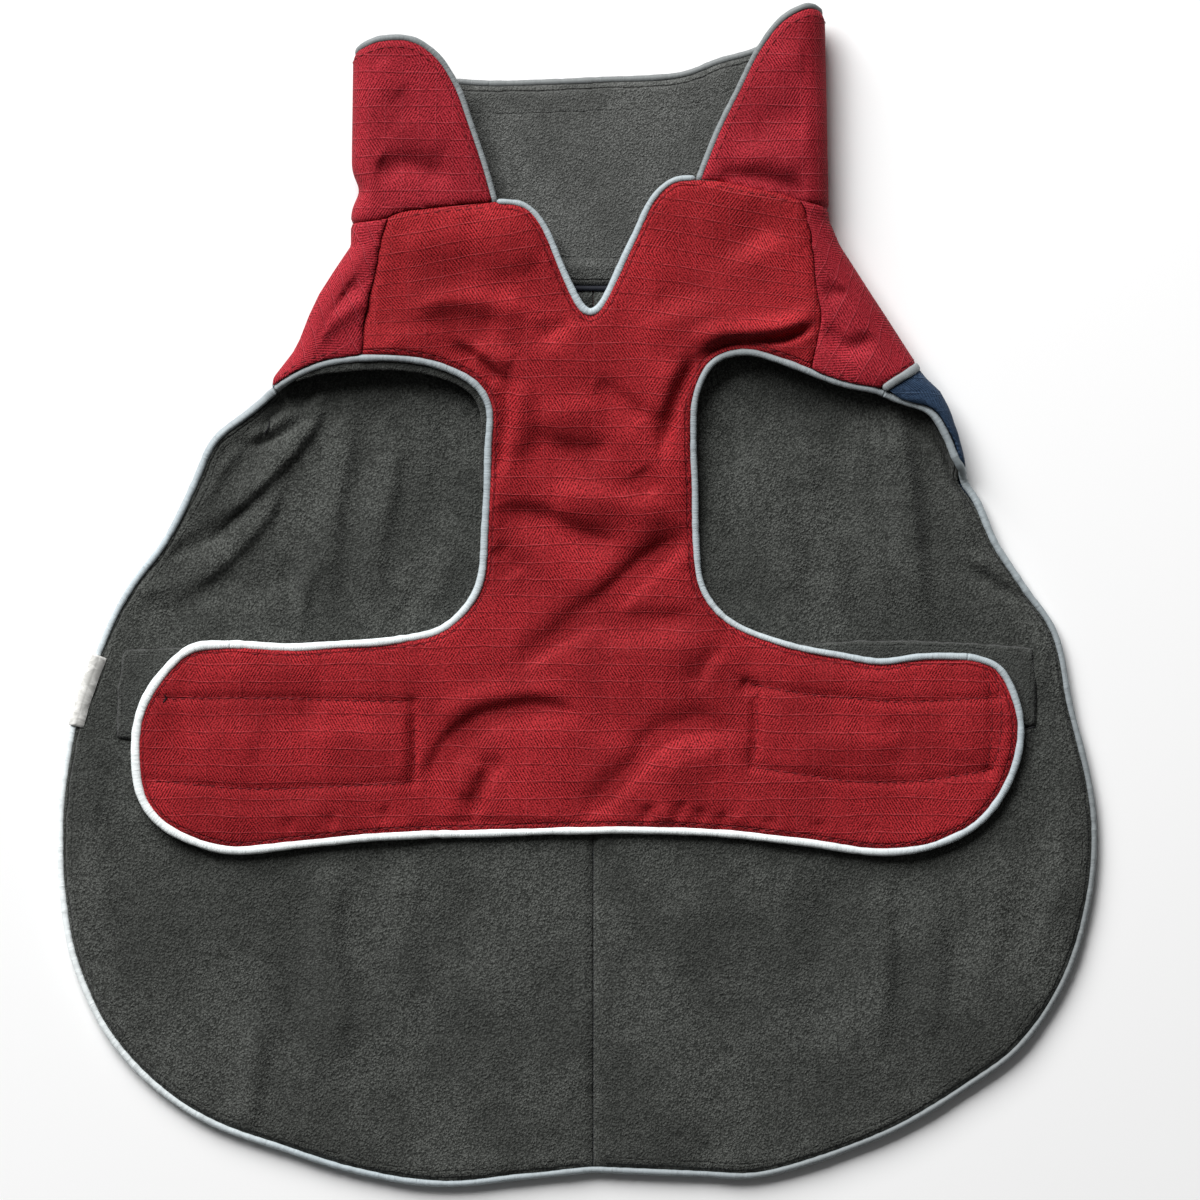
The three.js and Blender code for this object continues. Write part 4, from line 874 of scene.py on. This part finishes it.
# Chest panel with the belly band
chestCreases = [
    (-1.7, 1.7, 452, 342, 470, 354, 488, 368, 504, 384), (1.0, 2.8, 474, 348, 494, 356, 514, 362),
    (-1.4, 2.2, 508, 370, 509, 392, 506, 420, 501, 450, 496, 482), (0.7, 3.6, 524, 380, 521, 420, 514, 458),
    (0.9, 3.2, 536, 352, 558, 341, 586, 325), (-0.8, 3.0, 545, 344, 556, 333, 570, 323),
    (-0.5, 2.8, 544, 318, 546, 336, 542, 356), (-1.0, 3.2, 596, 380, 620, 398, 647, 420),
    (-1.1, 4.0, 527, 432, 562, 449, 610, 450), (0.6, 4.0, 540, 416, 572, 412, 606, 404),
    (-0.8, 3.2, 640, 468, 656, 494), (1.5, 4.0, 552, 494, 602, 500, 668, 515),
    (-1.4, 3.6, 497, 512, 540, 516, 576, 532, 616, 544), (-0.8, 3.2, 497, 543, 520, 575),
    (-2.1, 3.8, 700, 534, 668, 550, 636, 578, 602, 608, 566, 640), (1.3, 3.4, 674, 528, 642, 546, 612, 574, 578, 602),
    (-1.3, 3.6, 590, 616, 640, 622, 696, 618), (-1.4, 2.6, 576, 630, 552, 645, 522, 664),
    (1.0, 6.0, 600, 656, 670, 648, 730, 662), (-1.0, 2.4, 721, 646, 704, 668, 695, 690),
    (-1.8, 3.1, 420, 783, 437, 762, 455, 738, 478, 719, 512, 709, 546, 707, 578, 716),
    (0.8, 4.0, 436, 728, 468, 702, 520, 692, 570, 696), (-1.4, 2.2, 503, 757, 485, 784, 474, 820),
    (0.8, 2.6, 482, 762, 466, 800), (-2.0, 3.1, 738, 733, 692, 730, 657, 745, 633, 770, 602, 800, 580, 820),
    (0.8, 3.4, 640, 742, 614, 775, 588, 802), (0.8, 3.6, 664, 778, 692, 760, 724, 753),
    (-0.7, 1.1, 414, 824, 469, 821, 561, 824, 600, 820), (-0.9, 1.4, 651, 805, 647, 824),
    (0.5, 1.4, 668, 806, 666, 822), (-0.7, 1.3, 683, 801, 680, 819), (-0.7, 1.3, 701, 806, 705, 822),
    (-0.6, 1.4, 722, 812, 727, 828), (0.4, 1.5, 740, 812, 742, 828), (-0.5, 1.5, 330, 812, 334, 828),
    (-0.4, 1.6, 292, 816, 290, 832), (-0.5, 1.5, 385, 806, 388, 824), (-0.5, 1.5, 770, 816, 774, 830),
    (-0.5, 1.6, 820, 820, 822, 838), (-0.4, 1.6, 870, 822, 868, 842),
    (-1.6, 1.7, 699, 357, 688, 375, 681, 391, 673, 412, 667, 436, 664, 457), (1.0, 2.8, 678, 362, 668, 390, 660, 420),
    (-0.7, 1.4, 695, 367, 685, 397),
    (-3.3, (1.9, 0.75), 700, 366, 712, 352, 731, 344.5, 758, 342.5, 788, 338, 815, 326),
    (2.0, 3.0, 690, 345, 716, 333, 750, 331, 790, 325, 813, 314), (1.4, 3.6, 411, 314, 442, 303, 486, 303, 530, 316),
    (-1.1, 5.5, 417, 328, 451, 318, 506, 330), (0.6, 3.2, 384, 346, 420, 335, 452, 340),
    (-1.0, 4.0, 776, 224, 749, 240, 720, 258), (-0.7, 4.0, 702, 287, 680, 296, 656, 301),
    (0.6, 4.6, 736, 268, 770, 254, 802, 246), (0.7, 4.6, 636, 334, 680, 320, 726, 310),
    (0.8, 4.6, 478, 214, 510, 240, 530, 272), (0.6, 5.0, 400, 252, 430, 241, 470, 236),
    (-0.5, 5.0, 440, 262, 480, 272, 520, 292), (0.5, 4.6, 300, 742, 360, 737, 406, 744),
    (0.45, 4.6, 180, 742, 220, 738, 262, 746), (-0.35, 3.2, 228, 706, 280, 712, 330, 707),
    (0.6, 4.6, 800, 738, 860, 744, 930, 738), (-0.45, 4.0, 880, 716, 905, 740, 890, 772),
    (0.4, 4.0, 950, 716, 968, 740, 966, 762), (0.4, 4.0, 180, 672, 240, 676, 320, 670),
    (0.5, 4.6, 340, 662, 400, 672, 450, 660), (0.5, 3.6, 780, 668, 840, 678, 900, 680),
    (0.4, 3.4, 200, 812, 260, 818, 330, 808), (-0.8, 1.3, 757, 688, 757, 730, 753, 770),
    (-1.0, 1.5, 742, 680, 756, 690), (-0.7, 1.3, 414, 700, 415, 745, 414, 786),
    (0.4, 2.0, 404, 706, 406, 745, 405, 780)]
patchSeams = [[(158, 699), (230, 698), (300, 699), (370, 701), (413, 702)],
              [(152, 780), (200, 785), (260, 789), (340, 786), (413, 783)], [(413, 702), (415, 745), (413, 783)],
              [(746, 683), (800, 693), (850, 698), (900, 702), (950, 700), (1001, 697)],
              [(753, 767), (800, 774), (850, 781), (900, 782), (950, 777), (992, 769)],
              [(757, 688), (757, 730), (753, 767)],
              [(986, 669), (991, 700), (991, 740), (985, 774)], [(994, 672), (1001, 704), (1000, 740), (990, 775)]]
chestLook = dict(grid=1.0, thick=2.8, leastThick=0.9, roundOff=0.95, atEdge=0.95, seamDepth=0.6, seamWidth=1.5,
                 neckIn=0.7, creased=1.7, slopes=(0.9, 1.9), above=5.1)


# Upper face of the chest: the laid height, its creases, a soft unevenness, shallow grooves along
# the sewn lines, and the edge drawn down to the piping
def chestTop(x, y, edge):
    folds = chestLook["creased"] * creaseHeight(x, y, chestCreases, chestLook["slopes"])
    height = upperHeight(x, y) + folds * (0.35 + 0.65 * smooth(0.0, 4.5, edge))
    for path in patchSeams:
        distance, _ = nearestOn(trace(onCoat(path), 0.8), x, y)
        height -= chestLook["seamDepth"] * np.exp(-(distance / chestLook["seamWidth"]) ** 2)
    height += 0.30 * unevenness(x, y, 34, 3) + 0.10 * unevenness(x, y, 12, 4)
    height += 0.12 * unevenness(x, y, 4.6, 5) * np.exp(-((edge - 2.2) / 1.6) ** 2)
    height -= 0.25 * np.exp(-((edge - 1.55) / 0.6) ** 2)
    height -= chestLook["atEdge"] * drawnIn(edge, chestLook["roundOff"])
    return chestLook["above"] + np.logaddexp(0, (height - chestLook["above"]) * 3) / 3


legLeft, legRight, band, neck = [trace(rows, 1.2) for rows in (leftLegEdge, rightLegEdge, bandEdge, neckline)]
seenNeck = [outerFace(*between(flat["neck"], a, b).T)[:, :2] for a, b in (
    (flat["neck"][0], leftEnd), (rightEnd, flat["neck"][-1]))]
seenShoulder = [outerFace(*flat[name].T)[:, :2] for name in ("leftShoulder", "rightShoulder")]
chestLoop = joined(
    shifted(seenNeck[0][::-1], -half), shifted(neck, -chestLook["neckIn"]), shifted(seenNeck[1][::-1], -half),
    shifted(seenShoulder[1], -half), shifted(legRight[::-1], -cordIn), shifted(band[::-1], -cordIn),
    shifted(legLeft[::-1], -cordIn), shifted(seenShoulder[0][::-1], -half))
points, quads, edge = gridIn(chestLoop, chestLook["grid"])
x, y = points.T
top = chestTop(x, y, edge)
rest = upperHeight(x, y)
under = np.minimum(rest - chestLook["thick"] + 0.85 * np.maximum(top - rest, 0) + 0.5 * drawnIn(edge),
                   top - chestLook["leastThick"])
toSeam = np.min([nearestOn(trace(onCoat(path), 0.8), x, y)[0] for path in patchSeams], axis=0)
toPiping = nearestOn(np.concatenate([neck, legLeft, band, legRight]), x, y)[0] - cordIn
# The woven lines arch over the chest and drop a little over each crease
arch = 0.2 * (np.sqrt((x - 5) ** 2 + 400) - 20) * smooth(70, 108, y)
chestUv = np.stack([x, y + arch + 0.35 * (top - rest)], axis=1)
chest = clothWall("chestPanel", quads, np.stack([x, y, under], axis=1), np.stack([x, y, top], axis=1), chestUv,
                  [redCloth, collarFleece], "red_ripstop", lowLook=1, edge=toPiping, seam=toSeam)
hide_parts("chest_panel")

# Fleece of the lining, showing as a lip inside the piping of the left leg opening: how far in it
# lies and its half width, spread evenly along it
lipLook = dict(out=(1.2, 2.3, 2.3, 2.1, 1.9, 1.6, 1.3), side=(0.8, 1.7, 1.8, 1.6, 1.4, 1.1, 0.9), drop=2.3, up=0.62)


# A curve in plan laid on the chest: the laid height and a part of the creases, less a drop
def chestPath(curve, drop=1.4, follow=0.5):
    cx, cy = curve.T
    return np.stack([cx, cy, upperHeight(cx, cy) + follow * creaseHeight(cx, cy, chestCreases) - drop], axis=1)


# A path evened out by the average of each point and its neighbours, its ends kept
def eased(path, reach=3):
    window = np.ones(2 * reach + 1) / (2 * reach + 1)
    padded = np.concatenate([path[:1] * 1.0] * reach + [path] + [path[-1:]] * reach)
    return np.stack([np.convolve(column, window, "valid") for column in padded.T], axis=1)


# Normals that point up, one for each point
def straightUp(path):
    return np.tile([0.0, 0.0, 1.0], (len(path), 1))


lipCurve = evenSteps(np.concatenate([outerFace(*flat["leftYoke"].T)[5:, :2], legLeft[1:64]]), 1.0)
out = np.interp(np.linspace(0, 1, len(lipCurve)), np.linspace(0, 1, 7), lipLook["out"])
path = evenSteps(eased(chestPath(shifted(lipCurve, -out[:, None]), lipLook["drop"])), 0.9)
# The lip has no edge mark, so the painted shade of its fleece's pressed lines falls in patches along the whole lip
lip = bead("lip", path, straightUp(path), patchFleece, "grey_fleece", lipLook["side"], lipLook["up"], seed=40)
print("chest made", len(quads), "faces above")

# Piping: half width, half height and painted reflection of each piece, spread evenly along it
pipingLook = dict(
    step=0.8, hemDepth=2.45, hemOut=0.42, collarOut=0.25,
    leg_piping_left=((1.05, 1.15, 1.2, 1.25, 1.3, 1.4), 1.25, (0.16, 0.20, 0.26, 0.34, 0.46, 0.62, 0.78, 0.92, 0.97)),
    band_piping=((1.45, 1.5, 1.4, 1.3, 1.25, 1.2, 1.25, 1.3, 1.2, 1.15), 1.3,
                 (0.97, 1, 1, 1, 0.97, 1, 0.98, 0.86, 0.62, 0.42, 0.34)),
    leg_piping_right=((1.15, 1.1, 1.05, 1.1, 1.05, 1.1, 1.15), 1.2,
                      (0.34, 0.42, 0.56, 0.56, 0.40, 0.28, 0.20, 0.20, 0.22)),
    hem_piping=((1.15, 1.1, 1.0, 0.95, 0.95, 1.0, 1.0, 1.05, 1.05, 1.1, 1.05, 1.05, 1.05, 1.1), 1.25,
                (0.22, 0.30, 0.24, 0.14, 0.10, 0.12, 0.16, 0.24, 0.30, 0.44, 0.70, 0.90, 0.86, 0.60, 0.36, 0.22)))


# Piece of piping in place of its node
def cord(name, node, path, normal, seed, rounded=True, look=None):
    side, up, gleam = look or pipingLook[node]
    piece = bead(name, path, normal, pipingTape, "reflective_piping", side, up, gleam, seed=seed, rounded=rounded)
    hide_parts(node)
    return piece


# The edge of the coat is one long line: left yoke, left leg opening, band, right leg opening,
# right yoke and the hem back round to the left yoke
legs = [chestPath(curve) for curve in (legLeft, band, legRight)]
corners = [rolledWithNormal(*flat[name].T, deep) for name in ("leftYoke", "rightYoke")]
hemCurves = [shifted(curve, pipingLook["hemOut"], deep) for curve in (flat["hemRight"], flat["hemLeft"][::-1])]
hems = []
for curve in hemCurves:
    side, start, radius = bendOf(*curve.T)
    turned = (curve[:, 0] - start) * side / radius
    steep = smooth(0.15, 0.8, turned) * (1 - smooth(1.5, 2.4, turned))
    hems.append(rolledWithNormal(*curve.T, pipingLook["hemDepth"] - 1.2 * steep))
parts = [corners[0], *[(leg, -straightUp(leg)) for leg in legs], corners[1], *hems,
         (corners[0][0][:1], corners[0][1][:1])]
ring, facing = [eased(np.concatenate([part[k] for part in parts]), 2) for k in (0, 1)]
counts = np.cumsum([len(part[0]) for part in parts])
lengths = lengthsOf(ring)
marks = lengths[[0, counts[1], counts[2], counts[4], len(ring) - 1]]
total = round(lengths[-1] / pipingLook["step"])
at = np.linspace(0, lengths[-1], total + 1)
ring, facing = [rowsAt(at, lengths, rows) for rows in (ring, facing)]
cuts = np.round(marks / lengths[-1] * total).astype(int)
for k, (name, node) in enumerate((("legPipingLeft", "leg_piping_left"), ("bandPiping", "band_piping"),
                                  ("legPipingRight", "leg_piping_right"), ("hemPiping", "hem_piping"))):
    part = slice(cuts[k], cuts[k + 1] + 1)
    cord(name, node, ring[part], facing[part], 50 + 3 * k, rounded=False)
hemPath, hemFacing = ring[cuts[3]:], facing[cuts[3]:]

# Neckline, collar and yoke piping, each with its half width, half height and painted reflection
path = evenSteps(eased(chestPath(carriedOn(cutEnds(neck, 0.1, 0.1), 1.3)), 2), pipingLook["step"])
cord("necklinePiping", "neckline_piping", path, straightUp(path), 62,
     look=((1.0, 1.05, 1.15, 1.25, 1.2, 1.05, 1.0), 1.15, (0.26, 0.30, 0.38, 0.46, 0.40, 0.30, 0.26)))
collarCurve = evenSteps(cutEnds(shifted(flat["collar"], pipingLook["collarOut"], deep), 0.6, 0.6), pipingLook["step"])
place, inward = rolledWithNormal(*collarCurve.T, deep)
cord("collarPiping", "collar_piping", place, inward, 65,
     look=(1.08, 1.3, (0.16, 0.14, 0.10, 0.06, 0.0, 0.0, 0.0, 0.0, 0.0, 0.04, 0.10, 0.16)))
yokeCurve = evenSteps(cutEnds(flat["yoke"], 0.8, 1.6), pipingLook["step"])
side, start, radius = bendOf(*yokeCurve.T)
turned = smooth(0.4, 2.6, (yokeCurve[:, 0] - start) * side / radius)
place, inward = rolledWithNormal(*yokeCurve.T, 0.95 - 0.75 * turned)
cord("yokePiping", "yoke_piping", place, inward, 68,
     look=((1.5, 1.35, 1.35, 1.35), (1.15, 0.9, 0.9, 0.9), (0.14, 0.16, 0.16, 0.14)))
print("piping made")

# Patches on the lining and hook patches under the band
patchOutlines = dict(
    left=[(123, 649), (160, 648), (200, 646), (300, 648), (384, 649), (384, 738), (300, 738), (200, 739),
          (135, 741), (116, 738), (117, 690)],
    right=[(790, 645), (850, 640), (920, 640), (960, 642), (1010, 645), (1033, 648), (1037, 680), (1036, 727),
           (960, 728), (880, 728), (790, 728)])
patchLook = dict(grid=1.3, low=3.95, high=4.95, edgeDrop=0.6, roundOff=0.8)
hookLook = dict(left=(-132, -53, -60, -33), right=(57, 129, -58, -32), depths=(3.05, 2.75), step=1.5)
for side, rows in patchOutlines.items():
    corners = onCoat(rows)
    loop = evenSteps(np.concatenate([corners, corners[:1]]), 1.5)[:-1]
    points, quads, edge = gridIn(loop, patchLook["grid"])
    ground = liningRelief(*points.T, edge)
    high = patchLook["high"] + ground - patchLook["edgeDrop"] * drawnIn(edge, patchLook["roundOff"])
    faces = [np.stack([*points.T, height], axis=1) for height in (patchLook["low"] + ground, high)]
    patch = clothWall("liningPatch" + side.title(), quads, *faces, points, [patchFleece], "grey_fleece", edge=edge)
    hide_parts("lining_patch_" + side)
    declareSheet(patch, points, quads, *faces, restsOn="back_lining_" + side)
for side in patchOutlines:
    left, right, bottom, topEdge = hookLook[side]
    corners = np.array([[left, topEdge], [right, topEdge], [right, bottom], [left, bottom], [left, topEdge]], float)
    points, quads, edge = gridIn(evenSteps(corners, hookLook["step"])[:-1], hookLook["step"])
    faces = [np.stack([*points.T, upperHeight(*points.T) - depth], axis=1) for depth in hookLook["depths"]]
    hook = clothWall("hookPatch" + side.title(), quads, *faces, points, [hookTape], "hook_tape")
    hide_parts("hook_patch_" + side)
    declareSheet(hook, points, quads, *faces, restsOn="chest_panel")

# Satin tab wrapped over the hem piping
tabLook = dict(fromY=-18.8, toY=-41.9, outer=1.85, inner=1.6, under=-50, over=120, turns=22)
onTab = (hemPath[:, 0] < 0) & (hemPath[:, 1] < tabLook["fromY"]) & (hemPath[:, 1] > tabLook["toY"])
path, tabNormal = hemPath[onTab][::-1], hemFacing[onTab][::-1]
along = unit(np.gradient(path, axis=0))
across = np.cross(along, tabNormal)
turns = np.radians(np.linspace(tabLook["under"], tabLook["over"], tabLook["turns"]))
ring = np.concatenate([[(np.cos(t) * tabLook["outer"], np.sin(t) * tabLook["outer"]) for t in turns],
                       [(-3.1, 1.75), (-3.1, 1.5)],
                       [(np.cos(t) * tabLook["inner"], np.sin(t) * tabLook["inner"]) for t in turns[::-1]]])
outward = np.sign((across * path * [1, 1, 0]).sum(1).mean())
wobble = 1 + 0.02 * np.sin(np.arange(len(path)) * 0.55)[:, None, None]
rings = path[:, None] + outward * across[:, None] * ring[None, :, :1] * wobble \
    + tabNormal[:, None] * ring[None, :, 1:]
count, sides = rings.shape[:2]
faces = tubeFaces(count, sides, np.array([[k, k + 1, sides - 2 - k, sides - 1 - k] for k in range(sides // 2 - 1)]))
if outward < 0:
    faces = faces[:, ::-1]
sideTab = meshPiece("sideTab", rings.reshape(-1, 3), faces, [satinTape], "satin_tape",
                    tubeUv(lengthsOf(path), lengthsOf(ring)))
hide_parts("side_tab")

# Stitching
stitchLook = dict(inside=2.5, besideNeck=-2.4, besideSeam=1.6, yoke=2.6, collar=2.7)


# Stitch path on the chest's upper face, with its normals
def onChest(curve):
    distance, _ = nearestOn(evenSteps(np.concatenate([chestLoop, chestLoop[:1]]), 0.4), *curve.T)
    path = np.stack([*curve.T, chestTop(*curve.T, distance)], axis=1)
    return path, straightUp(path)


chestRows = [shifted(curve, stitchLook[place])[skip:-skip] for curve, place, skip in (
    (neck, "besideNeck", 3), (legRight, "inside", 3), (legLeft, "inside", 3), (band, "inside", 2),
    (seenNeck[0], "besideSeam", 2), (seenNeck[1], "besideSeam", 2))]
seamStitches = stitches("chestStitches", [onChest(row) for row in chestRows], redThread, "red_ripstop")
patchStitches = stitches("patchStitches", [onChest(trace(onCoat(path), 1.0)) for path in patchSeams], redThread,
                         "red_ripstop", length=2.2, gap=0.7)


# Stitch path at a depth in the rolled cloth, with its outward normals
def onRolled(curve, depth):
    path, inward = rolledWithNormal(*curve.T, depth)
    return path, -inward


stitches("yokeStitches", [
    onRolled(shifted(flat["yoke"], stitchLook["yoke"], 0)[3:-3], 0.02),
    onRolled(shifted(flat["rightYoke"], -stitchLook["yoke"], 0)[2:-3], 0.02),
    onRolled(shifted(flat["leftYoke"], -stitchLook["yoke"], 0)[3:-2], 0.02)], redThread, "red_ripstop")
stitches("collarStitches", [onRolled(shifted(flat["collar"], -stitchLook["collar"], 0)[3:-3], 0.02)], redThread,
         "red_ripstop")
# Black ends of thread: on the band, on the right lining patch and on the lining at the left corner
loose = [[(165, 694), (167, 698), (163, 703)], [(1024, 730), (1029, 728), (1035, 726.5)],
         [(268, 420), (266, 427), (262, 434)]]
looseEnds = []
for k, rows in enumerate(loose):
    curve = evenSteps(onCoat(rows), 0.3)
    inner = np.full(len(curve), 9.0)
    place = unroll(np.pad(curve, ((0, 0), (0, 1)))).T
    path = [np.stack([*curve.T, chestTop(*curve.T, inner) + 0.15], axis=1),
            np.stack([*curve.T, 0 * inner + 5.4], axis=1),
            rolled(*place, 4.35 + liningRelief(*place, inner))][k]
    looseEnds.append(bead(f"looseThread{k + 1}", path, straightUp(path), blackThread, "dark_tape", 0.26, 0.22,
                          sides=6))
print("stitching made")

points, quads, edge = gridIn(chestLoop, 4.0)
px, py = points.T
middle = upperHeight(px, py)
declareSheet(chest, points, quads, np.stack([px, py, middle], axis=1), np.stack([px, py, middle], axis=1),
             restsOn=("back_lining_left", "back_lining_right", "lining_patch_left", "lining_patch_right"),
             withPieces=[lip, seamStitches, patchStitches, looseEnds[0]])

# Floor, light and camera
studio = dict(floor=(0.97, 0.97, 0.97), world=0.065, keyEnergy=180.0, keySize=2.2, keyPlace=(-1.15, 2.25, 1.75),
              fillEnergy=0.8, fillSize=1.6, fillPlace=(0.6, 0.5, 1.3))
bpy.context.scene.view_settings.view_transform = "Standard"
floorMesh = bpy.data.meshes.new("floor")
floorMesh.from_pydata([(-3, -3, -0.0001), (3, -3, -0.0001), (3, 3, -0.0001), (-3, 3, -0.0001)], [], [(0, 1, 2, 3)])
floor = bpy.data.objects.new("floor", floorMesh)
bpy.context.collection.objects.link(floor)
floorLook = bpy.data.materials.new("floor")
floorLook.use_nodes = True
floorLook.node_tree.nodes["Principled BSDF"].inputs["Base Color"].default_value = (*studio["floor"], 1)
floorLook.node_tree.nodes["Principled BSDF"].inputs["Roughness"].default_value = 0.9
floorMesh.materials.append(floorLook)

world = bpy.data.worlds.new("studio")
world.use_nodes = True
world.node_tree.nodes["Background"].inputs["Color"].default_value = (1, 1, 1, 1)
world.node_tree.nodes["Background"].inputs["Strength"].default_value = studio["world"]
bpy.context.scene.world = world


# Square soft light aimed at the middle of the coat
def softLight(name, place, size, energy):
    data = bpy.data.lights.new(name, "AREA")
    data.size, data.energy = size, energy
    lamp = bpy.data.objects.new(name, data)
    bpy.context.collection.objects.link(lamp)
    lamp.location = place
    lamp.rotation_euler = (-Vector(place)).to_track_quat("-Z", "Y").to_euler()


softLight("key", studio["keyPlace"], studio["keySize"], studio["keyEnergy"])
softLight("fill", studio["fillPlace"], studio["fillSize"], studio["fillEnergy"])

view = dict(width=0.384, centre=(0.0072, -0.00128), height=4.0, level=0.006)
eye = bpy.data.cameras.new("fromAbove")
eye.sensor_width = 36
eye.lens = 36 * (view["height"] - view["level"]) / view["width"]
eye.clip_end = 20
camera = bpy.data.objects.new("fromAbove", eye)
camera.location = (*view["centre"], view["height"])
bpy.context.collection.objects.link(camera)
bpy.context.scene.camera = camera
